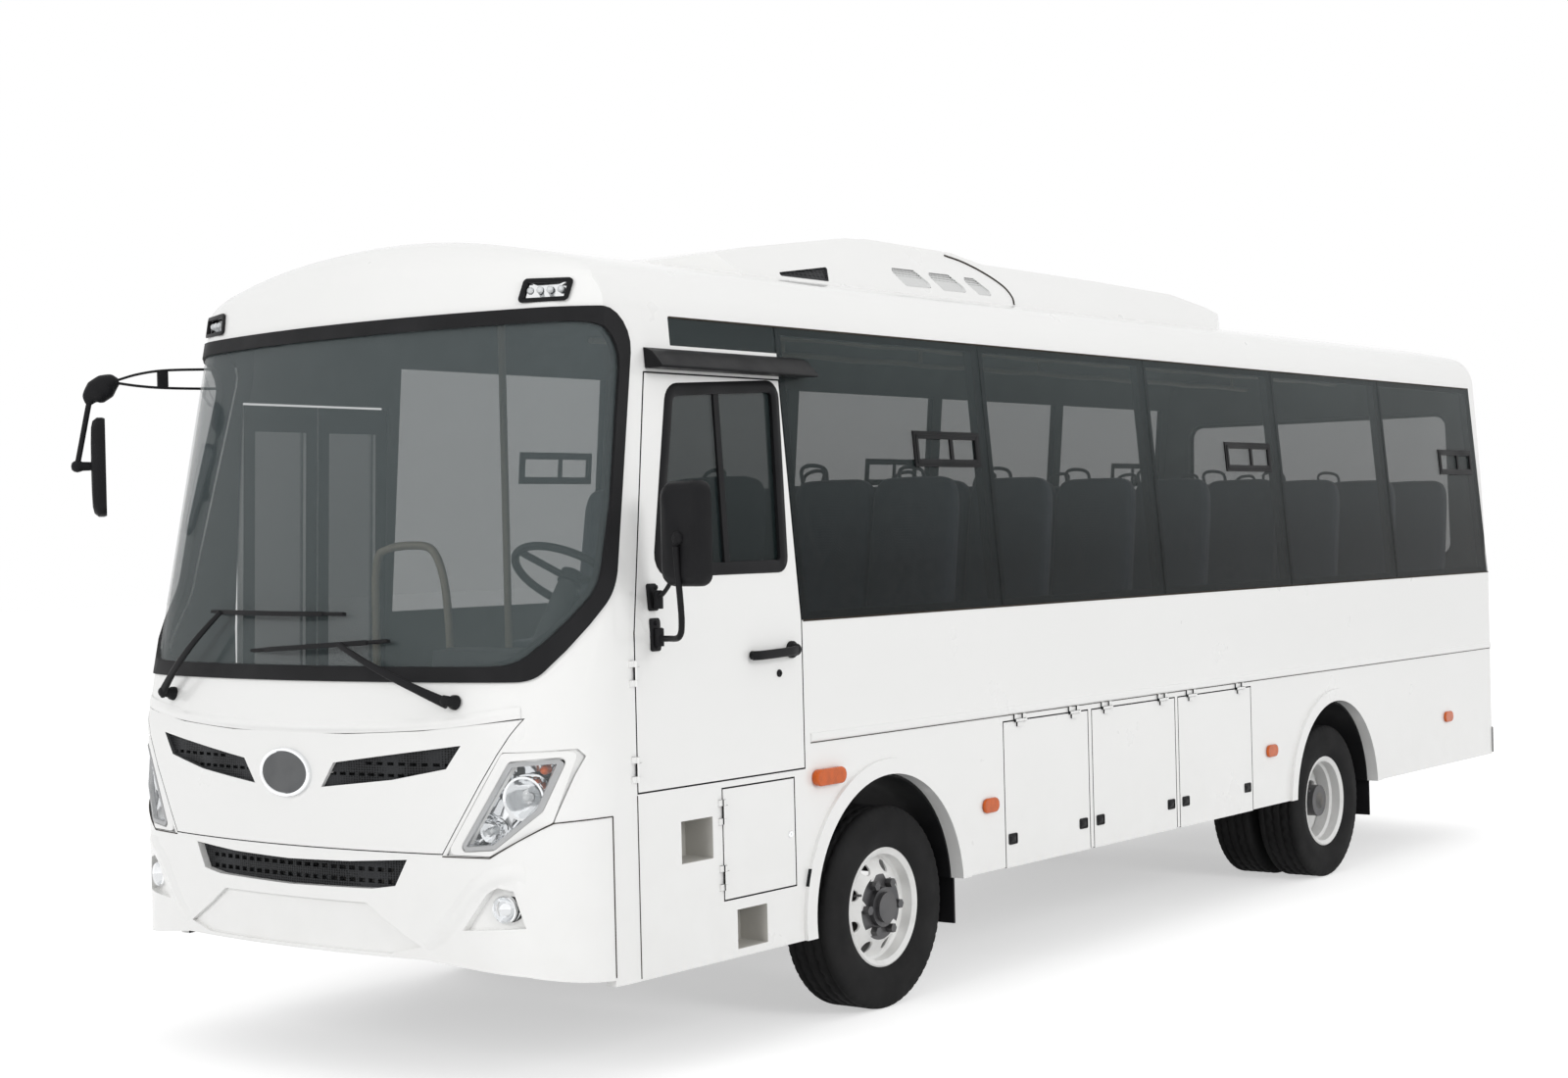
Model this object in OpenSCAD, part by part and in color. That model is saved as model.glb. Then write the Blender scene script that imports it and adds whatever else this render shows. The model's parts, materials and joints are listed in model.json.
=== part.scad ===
// Midi coach with a front engine, left-hand drive and a roof-mounted air conditioner.
// Frame: +X towards the nose, +Y to the coach's left, +Z up, origin on the ground under the middle.

/* [Body] */
// Overall length, nose to tail
body_length = 8600; // [8200:20:9200]
// Overall width across the side walls
body_width = 2300; // [2200:10:2500]
// Height of the roof's crown above the ground
roof_height = 2990; // [2920:5:3100]
// Height of the skirts' lower edge
skirt_height = 460; // [420:5:500]
// Height of the waist, where the side windows start
waist_height = 1560; // [1520:5:1640]
// How far the side windows' upper edge lies below the roof's crown
window_drop = 320; // [290:5:370]
// How far the side walls lean in at the windows' upper edge
tumblehome = 100; // [40:5:140]
// Thickness of walls, doors and flaps
wall = 45; // [35:1:60]
// Radius of the roof's camber
roof_radius = 3400; // [2800:50:4500]
// Radius of the shoulder between wall and roof
shoulder_radius = 190; // [140:5:240]
// Thickness of the window glass
glass = 8; // [5:1:12]
// Gap around doors and flaps
shut_gap = 6; // [5:0.5:10]

/* [Nose and tail] */
// Radius of the nose in plan
nose_radius = 3500; // [3000:50:4500]
// Radius of the front corners in plan
front_corner = 400; // [340:10:460]
// Rake of the windscreen, in degrees
windscreen_rake = 12.7; // [10:0.1:15]
// Height of the crease where the rake begins
crease_height = 1250; // [1220:5:1280]
// Radius of the dome above the windscreen
dome_radius = 250; // [200:10:300]
// Radius of the rear corners in plan
rear_corner = 170; // [120:5:220]

/* [Running gear] */
// Distance between the axles
wheelbase = 4105; // [4000:5:4200]
// Nose to front axle
front_overhang = 2110; // [2070:5:2150]
// Outside diameter of the tyres
tyre_diameter = 800; // [770:2:820]
// Section width of the tyres
tyre_width = 234; // [215:1:250]
// Depth of the outer tyre's face inside the wall
tyre_inset = 46; // [35:1:60]
// Radius of the wheel arches
arch_radius = 505; // [495:1:520]
// Radius of the wheel bearings' spindles
spindle_radius = 36; // [30:1:42]
// Radius of the kingpins
kingpin_radius = 21; // [18:1:24]
// Running clearance of pins and spindles
running_gap = 0.05; // [0.02:0.01:0.09]

/* [Chassis and floor] */
// Height of the passenger floor
floor_height = 1000; // [980:5:1020]
// Thickness of the floor
floor_thickness = 40; // [30:1:50]
// Height of the frame rails' upper faces
rail_top = 860; // [840:5:870]
// Depth of the frame rails
rail_depth = 200; // [160:5:220]
// Half of the distance between the rails' outer faces
rail_outer = 460; // [440:5:480]
// Thickness of the rails' steel
rail_steel = 8; // [6:1:12]
// Radius of the towing eyes' holes
tow_eye = 20; // [16:0.5:24]

/* [Hidden] */
$fn = 48;

half = body_width / 2;
nose_x = body_length / 2;
tail_x = -body_length / 2;
window_top = roof_height - window_drop;
front_axle_x = nose_x - front_overhang;
rear_axle_x = front_axle_x - wheelbase;
lean = atan(tumblehome / (window_top - waist_height));
hub_height = tyre_diameter / 2;
inner = half - wall;

// Where the side panels split along the length
cap_x = nose_x - 560;
pillar_x = cap_x - 195;
roof_front_x = pillar_x;
tail_split_x = tail_x + 150;
door_rear_x = cap_x - 964;
door_foot = floor_height + 4;
door_head = window_top - 200;
arch_x = [front_axle_x + 50, rear_axle_x];
arch_z = hub_height + 30;
lip = 62;
lip_proud = 16;

// The side window bays: where each pane ends in the run of windows, and the x of its edges
pane_ends = [0, 1416, 2856, 4216, 5566, 6926];
pane_share = (door_rear_x - tail_split_x) / pane_ends[5];
pane_edges = [for (e = pane_ends) door_rear_x - e * pane_share];
pane_gap = 5;
pillar = 90;
sill_bar = 30;

// The luggage flaps' edges, behind the front axle
flap_edges = [for (f = [[805, 1518], [1545, 2330], [2355, 3125]]) [front_axle_x - f[0], front_axle_x - f[1]]];
flap_top = floor_height + 76;
flap_foot = skirt_height - 4;
// Surface hinges: how far their axis stands out, their radius, pin, barrel length and ear length
hinge_out = 8;
hinge_radius = 7;
hinge_pin = 3.5;
hinge_barrel = 44;
hinge_ear = 22;
hinge_play = 0.5;

arc_steps = 8;

// How far apart separate pieces stay where one rests on or beside the other
seat_gap = 0.3;

// Outlines

// Points of an arc about c, from angle a0 to a1.
function arc(c, r, a0, a1, n) = [for (i = [0:n]) let (a = a0 + (a1 - a0) * i / n) c + r * [cos(a), sin(a)]];

// A polygon with each corner rounded to its own radius, where 0 keeps it sharp.
function rounded(p, r, n = 6) = [
    for (i = [0:len(p) - 1])
        let (
            a = p[(i + len(p) - 1) % len(p)],
            b = p[i],
            c = p[(i + 1) % len(p)],
            u = (a - b) / norm(a - b),
            v = (c - b) / norm(c - b),
            turn = acos(u * v) / 2,
            m = r[i] == 0 ? b : b + (u + v) / norm(u + v) * r[i] / sin(turn),
            s = b + u * r[i] / tan(turn) - m,
            e = b + v * r[i] / tan(turn) - m,
            a0 = r[i] == 0 ? 0 : atan2(s[1], s[0]),
            a1 = r[i] == 0 ? 0 : atan2(e[1], e[0]),
            sweep = (a1 - a0 + 540) % 360 - 180
        )
        each r[i] == 0 ? [b] : arc(m, r[i], a0, a0 + sweep, n)
];

// A polygon given anticlockwise, with every edge moved in by d.
function inset(p, d) = [
    for (i = [0:len(p) - 1])
        let (
            a = p[(i + len(p) - 1) % len(p)],
            b = p[i],
            c = p[(i + 1) % len(p)],
            u = (b - a) / norm(b - a),
            v = (c - b) / norm(c - b),
            m = [-u[1], u[0]],
            n = [-v[1], v[0]]
        )
        b + d * (m + n) / (1 + m * n)
];

function mirrored(p) = [for (i = [len(p) - 1:-1:0]) [-p[i][0], p[i][1]]];

// Centre of the arc that rounds a leaning wall line into a crown arc.
function shoulder_centre(side, tilt, base, crown, r, top) =
    let (
        o = [0, top - crown],
        d = [-sin(tilt), cos(tilt)],
        n = [-cos(tilt), -sin(tilt)],
        q = [side, base] + r * n - o,
        s = -(q * d) + sqrt((q * d) ^ 2 - q * q + (crown - r) ^ 2)
    )
    [side, base] + r * n + s * d;

// Half of a domed outline, from the wall's tangent point to the crown, set in by t.
function dome_half(side, tilt, base, crown, r, top, t, n) =
    let (
        c = shoulder_centre(side, tilt, base, crown, r, top),
        o = [0, top - crown],
        a = atan2(c[1] - o[1], c[0] - o[0]),
        crown_arc = arc(o, crown - t, a, 90, n)
    )
    concat(arc(c, r - t, tilt, a, n), [for (i = [1:n]) crown_arc[i]]);

function without_last(p) = [for (i = [0:len(p) - 2]) p[i]];

// Cross-section of the whole body in (y, z), set in by t.
function body_section(t, low) =
    let (
        kink = waist_height - t * sin(lean) + t * tan(lean / 2) * cos(lean),
        up = dome_half(half, lean, waist_height, roof_radius, shoulder_radius, roof_height, t, arc_steps),
        side = concat([[half - t, low], [half - t, kink]], up)
    )
    concat(side, mirrored(without_last(side)));

// Plan of the nose in (x, y), set in by t.
function nose_plan(t, back) =
    let (
        up = dome_half(half, 0, back, nose_radius, front_corner, nose_x, t, arc_steps),
        side = concat([[half - t, back]], up),
        ring = concat(side, mirrored(without_last(side)))
    )
    [for (p = ring) [p[1], p[0]]];

function tail_plan(t, front) =
    let (
        up = dome_half(half, 0, -front, 9000, rear_corner, -tail_x, t, arc_steps),
        side = concat([[half - t, -front]], up),
        ring = concat(side, mirrored(without_last(side)))
    )
    [for (p = ring) [-p[1], p[0]]];

// y of the wall's outer face at height z, set in by t
function wall_y(z, t = 0) = z <= waist_height ? half - t : half - t / cos(lean) - (z - waist_height) * tan(lean);

// Extrusions

// Carries an outline in (y, z) along x.
module along_x(x0, x1) {
    translate([x0, 0, 0]) rotate([90, 0, 90]) linear_extrude(x1 - x0) children();
}

// Carries an outline in (x, z) along y.
module along_y(y0, y1) {
    translate([0, y1, 0]) rotate([90, 0, 0]) linear_extrude(y1 - y0) children();
}

module block(low, high) {
    translate(low) cube(high - low);
}

module round_x(y, z, r, x0, x1) {
    translate([x0, y, z]) rotate([0, 90, 0]) cylinder(r = r, h = x1 - x0);
}

module round_z(x, y, r, z0, z1) {
    translate([x, y, z0]) cylinder(r = r, h = z1 - z0);
}

module both_sides() {
    children();
    mirror([0, 1, 0]) children();
}

module round_y(x, z, r, y0, y1) {
    translate([x, y1, z]) rotate([90, 0, 0]) cylinder(r = r, h = y1 - y0);
}

// The body's envelope

module nose_prism(t, tilt, at, back = 1000) {
    translate(at) rotate([0, -tilt, 0]) translate([-nose_x, 0, -4000])
        linear_extrude(8000) polygon(nose_plan(t, back));
}

dome_z = roof_height - dome_radius;
dome_x = nose_x - (dome_radius + (dome_z - crease_height) * sin(windscreen_rake)) / cos(windscreen_rake);
dome_tilts = [for (i = [1:4]) windscreen_rake + i * (90 - windscreen_rake) / 5];

// Plan of one tilted band of the dome: no two bands share their edges, so no edges meet.
function band_plan(t, back, corner_steps, crown_steps) =
    let (
        side = half + 20,
        c = shoulder_centre(side, 0, back, nose_radius, front_corner, nose_x),
        o = [0, nose_x - nose_radius],
        a = atan2(c[1] - o[1], c[0] - o[0]),
        right = concat([[side - t, back]], without_last(arc(c, front_corner - t, 0, a, corner_steps))),
        ring = concat(right, arc(o, nose_radius - t, a, 180 - a, crown_steps), mirrored(right))
    )
    [for (p = ring) [p[1], p[0]]];

module dome_band(t, i) {
    a = dome_tilts[i];
    translate([dome_x + dome_radius * cos(a), 0, dome_z + dome_radius * sin(a)]) rotate([0, -a, 0])
        translate([-nose_x, 0, -4000]) linear_extrude(8000) polygon(band_plan(t, 1000, 5 + i, 7 + 2 * i));
}

// The front of the body as one convex solid, set in by t: a bowed nose, a raked screen and a dome.
module front_envelope(t, low = 300) {
    intersection() {
        along_x(2500, nose_x + 100) polygon(body_section(t, low));
        linear_extrude(4000) polygon(nose_plan(t, 1000));
        nose_prism(t, windscreen_rake, [nose_x, 0, crease_height]);
        dome_band(t, 0);
        dome_band(t, 1);
        dome_band(t, 2);
        dome_band(t, 3);
    }
}

tail_tilts = [20, 45, 70];
tail_dome = 150;

module rear_envelope(t, low = 300) {
    intersection() {
        along_x(tail_x - 100, -2500) polygon(body_section(t, low));
        linear_extrude(4000) polygon(tail_plan(t, -2500));
        intersection_for(a = tail_tilts)
            translate([tail_x + tail_dome - tail_dome * cos(a), 0, roof_height - tail_dome + tail_dome * sin(a)])
                rotate([0, a, 0]) translate([-tail_x, 0, -4000])
                    linear_extrude(8000) polygon(tail_plan(t, 2000));
    }
}

// A slice of the nose's skin between two depths, inside an outline in (y, z).
module nose_skin(outline, t0, t1) {
    difference() {
        intersection() {
            along_x(nose_back, nose_x + 100) polygon(outline);
            front_envelope(t0);
        }
        front_envelope(t1);
    }
}

// The same at the tail, above the waist where it domes, and below it where it stands upright.
module tail_skin(outline, t0, t1) {
    difference() {
        intersection() {
            along_x(tail_x - 100, -3000) polygon(outline);
            rear_envelope(t0);
        }
        rear_envelope(t1);
    }
}

module tail_slab(outline, t0, t1) {
    intersection() {
        along_x(tail_x - 100, -3000) polygon(outline);
        difference() {
            linear_extrude(4000) polygon(tail_plan(t0, -2500));
            translate([0, 0, -1]) linear_extrude(4002) polygon(tail_plan(t1, -2400));
        }
    }
}

function sym(p) = concat(p, mirrored(p));

// Outlines on the nose, in (y, z)

seal_width = 52;
screen_foot = crease_height + 160;
screen_top = window_top + 20;

// The windscreen's edge as seen from the side, in (x, z), set in by d.
function screen_outline(d) = rounded(inset(
    [[pillar_x + 45, screen_top], [cap_x + 78, crease_height + 450], [nose_x - 210, screen_foot],
     [nose_x + 300, screen_foot], [nose_x + 300, screen_top]], d), [130, 250, 80, 0, 0]);

module screen_cut(d) {
    along_y(-2000, 2000) polygon(screen_outline(d));
}

function panel_outline(d) = inset(sym([[698, 828], [987, 1290], [624, 1250], [300, 1234]]), d);

slot_half = [[174, 1042], [497, 1077], [719, 1119], [778, 1199], [500, 1164], [234, 1129]];
low_grille = [[0, 693], [400, 700], [500, 714], [552, 806], [300, 790], [0, 783]];
lens_half = [[771, 846], [895, 856], [1029, 978], [1083, 1148], [948, 1138]];
surround_half = [[712, 827], [878, 826], [1058, 937], [1118, 1155], [1106, 1182], [925, 1177]];
roof_lamp_half = [for (p = [[786, 26], [952, 26], [962, 95], [800, 99]]) [p[0], screen_top + p[1]]];
fog_half = [[768, 575], [984, 587], [950, 712], [882, 728]];
fog_at = [918, 648];
fog_radius = 44;

// Hinges, drawn about the x axis with the moving leaf hanging down and the panel's face at y = -hinge_out

module hinge_ears(deep = 3) {
    x = hinge_barrel / 2 + hinge_play;
    for (x0 = [x, -x - hinge_ear]) {
        round_x(0, 0, hinge_radius, x0, x0 + hinge_ear);
        block([x0, -hinge_out - deep, 3], [x0 + hinge_ear, -1, 26]);
    }
    round_x(0, 0, hinge_pin, -x - 2, x + 2);
}

module hinge_leaf(deep = 3) {
    x = hinge_barrel / 2;
    difference() {
        union() {
            round_x(0, 0, hinge_radius, -x, x);
            block([-x, -hinge_out - deep, -26], [x, -1, -3]);
        }
        round_x(0, 0, hinge_pin + running_gap, -x - 1, x + 1);
    }
}

// Places the hinges of a top-hung flap, of an upright door hung at its front edge and of the boot lid.
flap_axis_z = flap_top - 3;
function flap_hinges(f) = [f[0] - 130, f[1] + 130];
door_axis_x = cap_x + 3;
door_hinges = [door_foot + 86, waist_height - 140];

module at_flap(x) {
    translate([x, half + hinge_out, flap_axis_z]) children();
}

module at_upright(x, z) {
    translate([x, half + hinge_out, z]) rotate([0, 90, 0]) children();
}

// Structure

bearers = concat([for (d = [630, 1410, 2160, 2890, 3520]) front_axle_x - d],
    [rear_axle_x - 625, tail_x + 1000, tail_x + 300]);
outriggers = [door_rear_x + 174, cap_x - 220];
cross_members = concat([nose_x - 400], bearers);
rail_inner = rail_outer - 60;
rail_foot = rail_top - rail_depth;
floor_foot = floor_height - floor_thickness;

module rail() {
    along_x(tail_x + 220, nose_x - 240) polygon([
        [rail_outer, rail_foot], [rail_outer, rail_top], [rail_inner, rail_top],
        [rail_inner, rail_top - rail_steel], [rail_outer - rail_steel, rail_top - rail_steel],
        [rail_outer - rail_steel, rail_foot + rail_steel], [rail_inner, rail_foot + rail_steel],
        [rail_inner, rail_foot]
    ]);
}

module tow_plate(x, low) {
    difference() {
        union() {
            block([x - 60, -70, low], [x + 60, 70, low + 25]);
            children();
        }
        translate([x, 0, low - 1]) cylinder(r = tow_eye, h = 27);
    }
}

// A cross-member between the rails' webs, under their flanges.
module cross_member(x) {
    reach = rail_outer - rail_steel - seat_gap;
    block([x - 35, -reach, rail_top - 80], [x + 35, reach, rail_top - rail_steel - seat_gap]);
}

module chassis_frame() color("#26282b") {
    both_sides() rail();
    for (x = cross_members) cross_member(x);
    for (x = bearers) block([x - 35, -inner, rail_top + seat_gap], [x + 35, inner, floor_foot]);
    for (x = outriggers) block([x - 35, rail_inner, rail_top + seat_gap], [x + 35, inner, floor_foot]);
    tow_plate(nose_x - 220, 500) block([nose_x - 435, -70, 500], [nose_x - 270, 70, rail_top - 10]);
    tow_plate(tail_x + 150, 500) block([tail_x + 200, -70, 500], [tail_x + 335, 70, rail_top - 10]);
}

step_x = [door_rear_x + 20, pillar_x + 49];
step_foot = 390;
step_mid = 700;
tread_y = [-640, -480];
sheet = 16;
hump = [[nose_x - 1880, nose_x - 680], 380, floor_height + 340];
hump_wall = 24;

dash_x = cap_x - 40;
floor_front = dash_x + 280;
well_x = [step_x[0] - sheet, step_x[1] + sheet];
well_y = tread_y[1] + sheet;

// The boards of the floor round the engine hump and the step well, as low and high corners in (x, y).
boards = [
    [[tail_split_x, -inner], [hump[0][0], inner]],
    [[hump[0][0], hump[1]], [dash_x, inner]],
    [[hump[0][0], -inner], [well_x[0], -hump[1]]],
    [[well_x[0], well_y], [well_x[1], -hump[1]]],
    [[well_x[1], -inner], [dash_x, -hump[1]]],
    [[hump[0][1], -hump[1]], [dash_x, hump[1]]],
    [[dash_x, -1000], [floor_front, 1000]]
];

module engine_hump() {
    difference() {
        along_y(-hump[1], hump[1]) polygon(rounded(
            [[hump[0][0], floor_foot], [hump[0][1], floor_foot], [hump[0][1], hump[2] - 60],
             [hump[0][1] - 140, hump[2]], [hump[0][0] + 100, hump[2]], [hump[0][0], hump[2] - 100]],
            [0, 0, 60, 60, 60, 60]));
        along_y(-hump[1] + hump_wall, hump[1] - hump_wall) polygon(
            [[hump[0][0] + hump_wall, floor_foot - 1], [hump[0][1] - hump_wall, floor_foot - 1],
             [hump[0][1] - hump_wall, hump[2] - 80], [hump[0][1] - 150, hump[2] - hump_wall],
             [hump[0][0] + 110, hump[2] - hump_wall], [hump[0][0] + hump_wall, hump[2] - 115]]);
    }
}

// Two treads and two risers between side sheets.
module steps() {
    x0 = step_x[0] + seat_gap;
    x1 = step_x[1] - seat_gap;
    for (x = [well_x[0], step_x[1]]) block([x, -inner, step_foot - sheet], [x + sheet, well_y, floor_height]);
    block([x0, -inner, step_foot - sheet], [x1, tread_y[0], step_foot]);
    block([x0, tread_y[0] + seat_gap, step_foot - sheet], [x1, tread_y[0] + sheet, step_mid - sheet - seat_gap]);
    block([x0, tread_y[0], step_mid - sheet], [x1, tread_y[1], step_mid]);
    block([x0, tread_y[1] + seat_gap, step_mid - sheet], [x1, well_y, floor_height]);
    entry_pivot(pivot_radius, -20, 74);
}

module floor() color("#5b6066") {
    for (b = boards)
        block([b[0][0] + seat_gap / 2, b[0][1] + seat_gap / 2, floor_foot],
            [b[1][0] - seat_gap / 2, b[1][1] - seat_gap / 2, floor_height]);
    engine_hump();
    steps();
}

bay = [front_axle_x - 3150, front_axle_x - 780];

module luggage_bays() color("#4a4e52") both_sides() {
    block([bay[0], rail_outer, skirt_height + 14], [bay[1], inner - 14, skirt_height + 26]);
    block([bay[0], rail_outer, skirt_height + 14], [bay[1], rail_outer + 12, rail_top]);
    for (x = [bay[0], bay[1] - 12]) block([x, rail_outer, skirt_height + 14], [x + 12, inner, rail_top]);
}

// Side walls

wall_head = window_top + 25;
pane_foot = waist_height + 2;
front_skirt = 364;

// A band of the leaning wall in (y, z), between two depths.
function band(t0, t1, z0, z1) = [
    [wall_y(z0, t0), z0], [wall_y(z1, t0), z1], [wall_y(z1, t1), z1], [wall_y(z0, t1), z0]
];

function wall_section(t0, t1, z0, z1) = [
    [half - t0, z0], [half - t0, waist_height - t0 * tan(lean / 2)], [wall_y(z1, t0), z1],
    [wall_y(z1, t1), z1], [half - t1, waist_height - t1 * tan(lean / 2)], [half - t1, z0]
];

pillar_head = window_top - 110;
pillar_slope = (cap_x - pillar_x) / (pillar_head - waist_height);
function pillar_line(z) = z <= waist_height ? cap_x : cap_x - (z - waist_height) * pillar_slope;

// What lies ahead of the doors' front edge, in (x, z).
module cap_region(y0 = -2000, y1 = 2000, back = 0) {
    along_y(y0, y1) polygon([
        [cap_x - back, 200], [cap_x - back, waist_height], [pillar_x - back, pillar_head],
        [pillar_x - back, roof_height + 410], [nose_x + 200, roof_height + 410], [nose_x + 200, 200]
    ]);
}

module arch(x, r) {
    round_y(x, arch_z, r, inner - 60, half + 200);
}

module side_wall() {
    difference() {
        union() {
            along_x(tail_split_x, cap_x) polygon(wall_section(0, wall, front_skirt, wall_head));
            for (x = arch_x) round_y(x, arch_z, arch_radius + lip, half - 20, half + lip_proud);
        }
        cap_region();
        for (x = arch_x) arch(x, arch_radius);
        block([tail_split_x - 1, inner - 1, -1000], [arch_x[0], half + 100, skirt_height]);
        block([arch_x[0] - 1, inner - 1, -1000], [nose_x, half + 100, front_skirt]);
        along_x(tail_split_x - 1, door_rear_x) polygon(band(-30, glass, pane_foot, window_top));
        for (i = [0:len(pane_edges) - 2])
            along_x(pane_edges[i + 1] + pillar / 2, pane_edges[i] - pillar / 2)
                polygon(band(-30, wall + 60, pane_foot + sill_bar, window_top - sill_bar));
        for (f = flap_edges) block([f[1], inner - 1, 100], [f[0], half + 1, flap_top]);
        children();
    }
    for (f = flap_edges, x = flap_hinges(f)) at_flap(x) hinge_ears();
}

strip_x = [door_rear_x + 6, pillar_x - 145];
strip_z = [window_top - 102, window_top];
battery_x = [door_rear_x + 69, door_rear_x + 504];
battery_z = [574, 982];

battery_hinges = [660, 896];

module left_wall() color("#f2f3f1") {
    side_wall() {
        block([door_rear_x, inner - 200, door_foot], [cap_x + 60, half + 1, door_head]);
        along_x(strip_x[0] - 10, strip_x[1]) polygon(band(-30, glass, strip_z[0], strip_z[1]));
        block([battery_x[0], inner - 1, battery_z[0]], [battery_x[1], half + 1, battery_z[1]]);
        block([battery_x[1] + 55, inner - 1, 737], [battery_x[1] + 230, half + 1, 886]);
        block([battery_x[0] + 185, inner - 1, 393], [battery_x[0] + 360, half + 1, 535]);
    }
    for (z = battery_hinges) at_upright(battery_x[1] - 3, z) hinge_ears();
}

entry_x = step_x;

module right_wall() color("#f2f3f1") mirror([0, 1, 0]) side_wall() {
    block([entry_x[0], inner - 200, 200], [cap_x + 1, half + 1, door_head]);
}

module roof() color("#f2f3f1") {
    difference() {
        along_x(tail_split_x, roof_front_x) polygon(body_section(0, 1000));
        along_x(tail_split_x - 1, roof_front_x + 1) polygon(body_section(wall, 900));
        block([tail_x, -2000, 0], [nose_x, 2000, wall_head]);
    }
}

// Nose

function bumper_top(d) = [[698, 822 + d], [878, 822 + d], [1058, 935 + d], [1300, 953 + d]];
bumper_back = cap_x + 126;
nose_back = nose_x - 1300;

module bumper_region(d = 0) {
    side = concat([[0, 814 + d]], bumper_top(d), [[1300, 370], [1150, 384], [980, 425], [620, 468], [0, 470]]);
    both_sides() along_x(bumper_back, nose_x + 100) polygon(side);
}

module nose_cut(outline) {
    along_x(nose_back, nose_x + 100) polygon(outline);
}

module front_cap() color("#f2f3f1") {
    difference() {
        intersection() {
            front_envelope(0, front_skirt);
            union() {
                cap_region();
                along_y(-2000, 0) polygon(
                    [[entry_x[1], 200], [entry_x[1], door_head], [cap_x, door_head], [cap_x, 200]]);
            }
        }
        front_envelope(wall, front_skirt - 1);
        screen_cut(0);
        bumper_region();
        both_sides() block([bumper_back, -1, 100], [nose_x + 100, half + 100, 500]);
        difference() {
            nose_cut(panel_outline(0));
            front_envelope(26);
        }
        nose_cut(panel_outline(26));
        both_sides() nose_cut(lens_half);
        difference() {
            both_sides() nose_cut(surround_half);
            front_envelope(9);
        }
        both_sides() nose_cut(roof_lamp_half);
        block([entry_x[0], -half - 1, 200], [entry_x[1], -inner + 200, door_head]);
        for (p = wiper_pivots) wiper_shaft(p, spindle + 0.3);
    }
    for (z = door_hinges) at_upright(door_axis_x, z) hinge_ears();
}

emblem_at = [0, 1085];

module nose_panel() color("#f2f3f1") {
    difference() {
        union() {
            nose_skin(panel_outline(4), 0, 26);
            translate([nose_x - 12, emblem_at[0], emblem_at[1]]) rotate([0, 90, 0]) cylinder(r = 78, h = 20);
        }
        both_sides() nose_cut(slot_half);
    }
}

module front_bumper() color("#f2f3f1") {
    difference() {
        intersection() {
            front_envelope(0, 300);
            bumper_region();
        }
        front_envelope(wall, 299);
        nose_cut(concat(low_grille, mirrored(low_grille)));
        difference() {
            both_sides() nose_cut(fog_half);
            front_envelope(30);
        }
        both_sides() along_x(nose_back, nose_x + 100) translate(fog_at) circle(r = fog_radius);
        difference() {
            nose_cut(sym([[475, 482], [600, 512], [461, 591], [370, 650]]));
            front_envelope(16);
        }
    }
}

module windscreen() color("#3b4a4a") {
    difference() {
        intersection() {
            front_envelope(4);
            screen_cut(seal_width);
        }
        front_envelope(12);
    }
}

module windscreen_seal() color("#141414") {
    difference() {
        intersection() {
            front_envelope(-8);
            screen_cut(0);
        }
        front_envelope(34);
        screen_cut(seal_width);
    }
}

module headlamps() color("#dfe6ea") both_sides() {
    nose_skin(lens_half, 5, wall);
    nose_skin(roof_lamp_half, -4, 24);
    intersection() {
        along_x(nose_back, nose_x + 100) translate(fog_at) circle(r = fog_radius);
        difference() {
            front_envelope(24);
            front_envelope(wall);
        }
    }
}

module slats(y0, y1, z0, z1, n) {
    for (i = [0:n - 1]) {
        y = y0 + (y1 - y0) * (i + 0.5) / n;
        block([nose_back, y - 14, z0], [nose_x + 100, y + 14, z1]);
    }
}

module grilles() color("#17181a") {
    both_sides() difference() {
        nose_skin(slot_half, 14, 26);
        slats(200, 760, 1085, 1096, 13);
        slats(360, 740, 1125, 1136, 8);
    }
    difference() {
        nose_skin(concat(low_grille, mirrored(low_grille)), 28, wall);
        slats(-480, 480, 715, 730, 22);
        slats(-480, 480, 755, 770, 22);
    }
}

// Tail

rear_window = sym([[900, waist_height + 90], [880, window_top - 130]]);
boot_half = 720;
boot_z = [650, 1330];
tail_lamp_half = [[890, 900], [1000, 900], [1000, 1340], [890, 1340]];

function boot_outline(d) = sym([[boot_half - d, boot_z[0] + d], [boot_half - d, boot_z[1] - d]]);

module tail_cut(outline) {
    along_x(tail_x - 200, tail_x + 1300) polygon(outline);
}

module rear_cap() color("#f2f3f1") {
    difference() {
        union() {
            difference() {
                intersection() {
                    rear_envelope(0, skirt_height + 10);
                    block([tail_x - 100, -2000, 0], [tail_split_x, 2000, 4000]);
                }
                rear_envelope(wall, skirt_height - 10);
            }
            tail_slab(sym([[half + 50, 470], [half + 50, 620]]), -24, 20);
        }
        block([tail_split_x, -2000, 0], [0, 2000, 4000]);
        tail_cut(rounded(rear_window, [90, 90, 90, 90]));
        tail_cut(boot_outline(0));
        both_sides() tail_cut(tail_lamp_half);
    }
    for (y = boot_hinges) at_boot(y) hinge_ears(24);
}

boot_axis = [tail_x - 9, boot_z[1] - 3];
boot_hinges = [-430, 430];

module at_boot(y) {
    translate([boot_axis[0], y, boot_axis[1]]) rotate([0, 0, 90]) children();
}

module boot_lid() color("#f2f3f1") {
    tail_slab(boot_outline(shut_gap), 0, wall - 15);
    for (y = boot_hinges) at_boot(y) hinge_leaf(24);
}

module tail_lamps() color("#9b1c1c") both_sides() tail_slab(tail_lamp_half, -6, 30);

// Glass and trim

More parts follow.
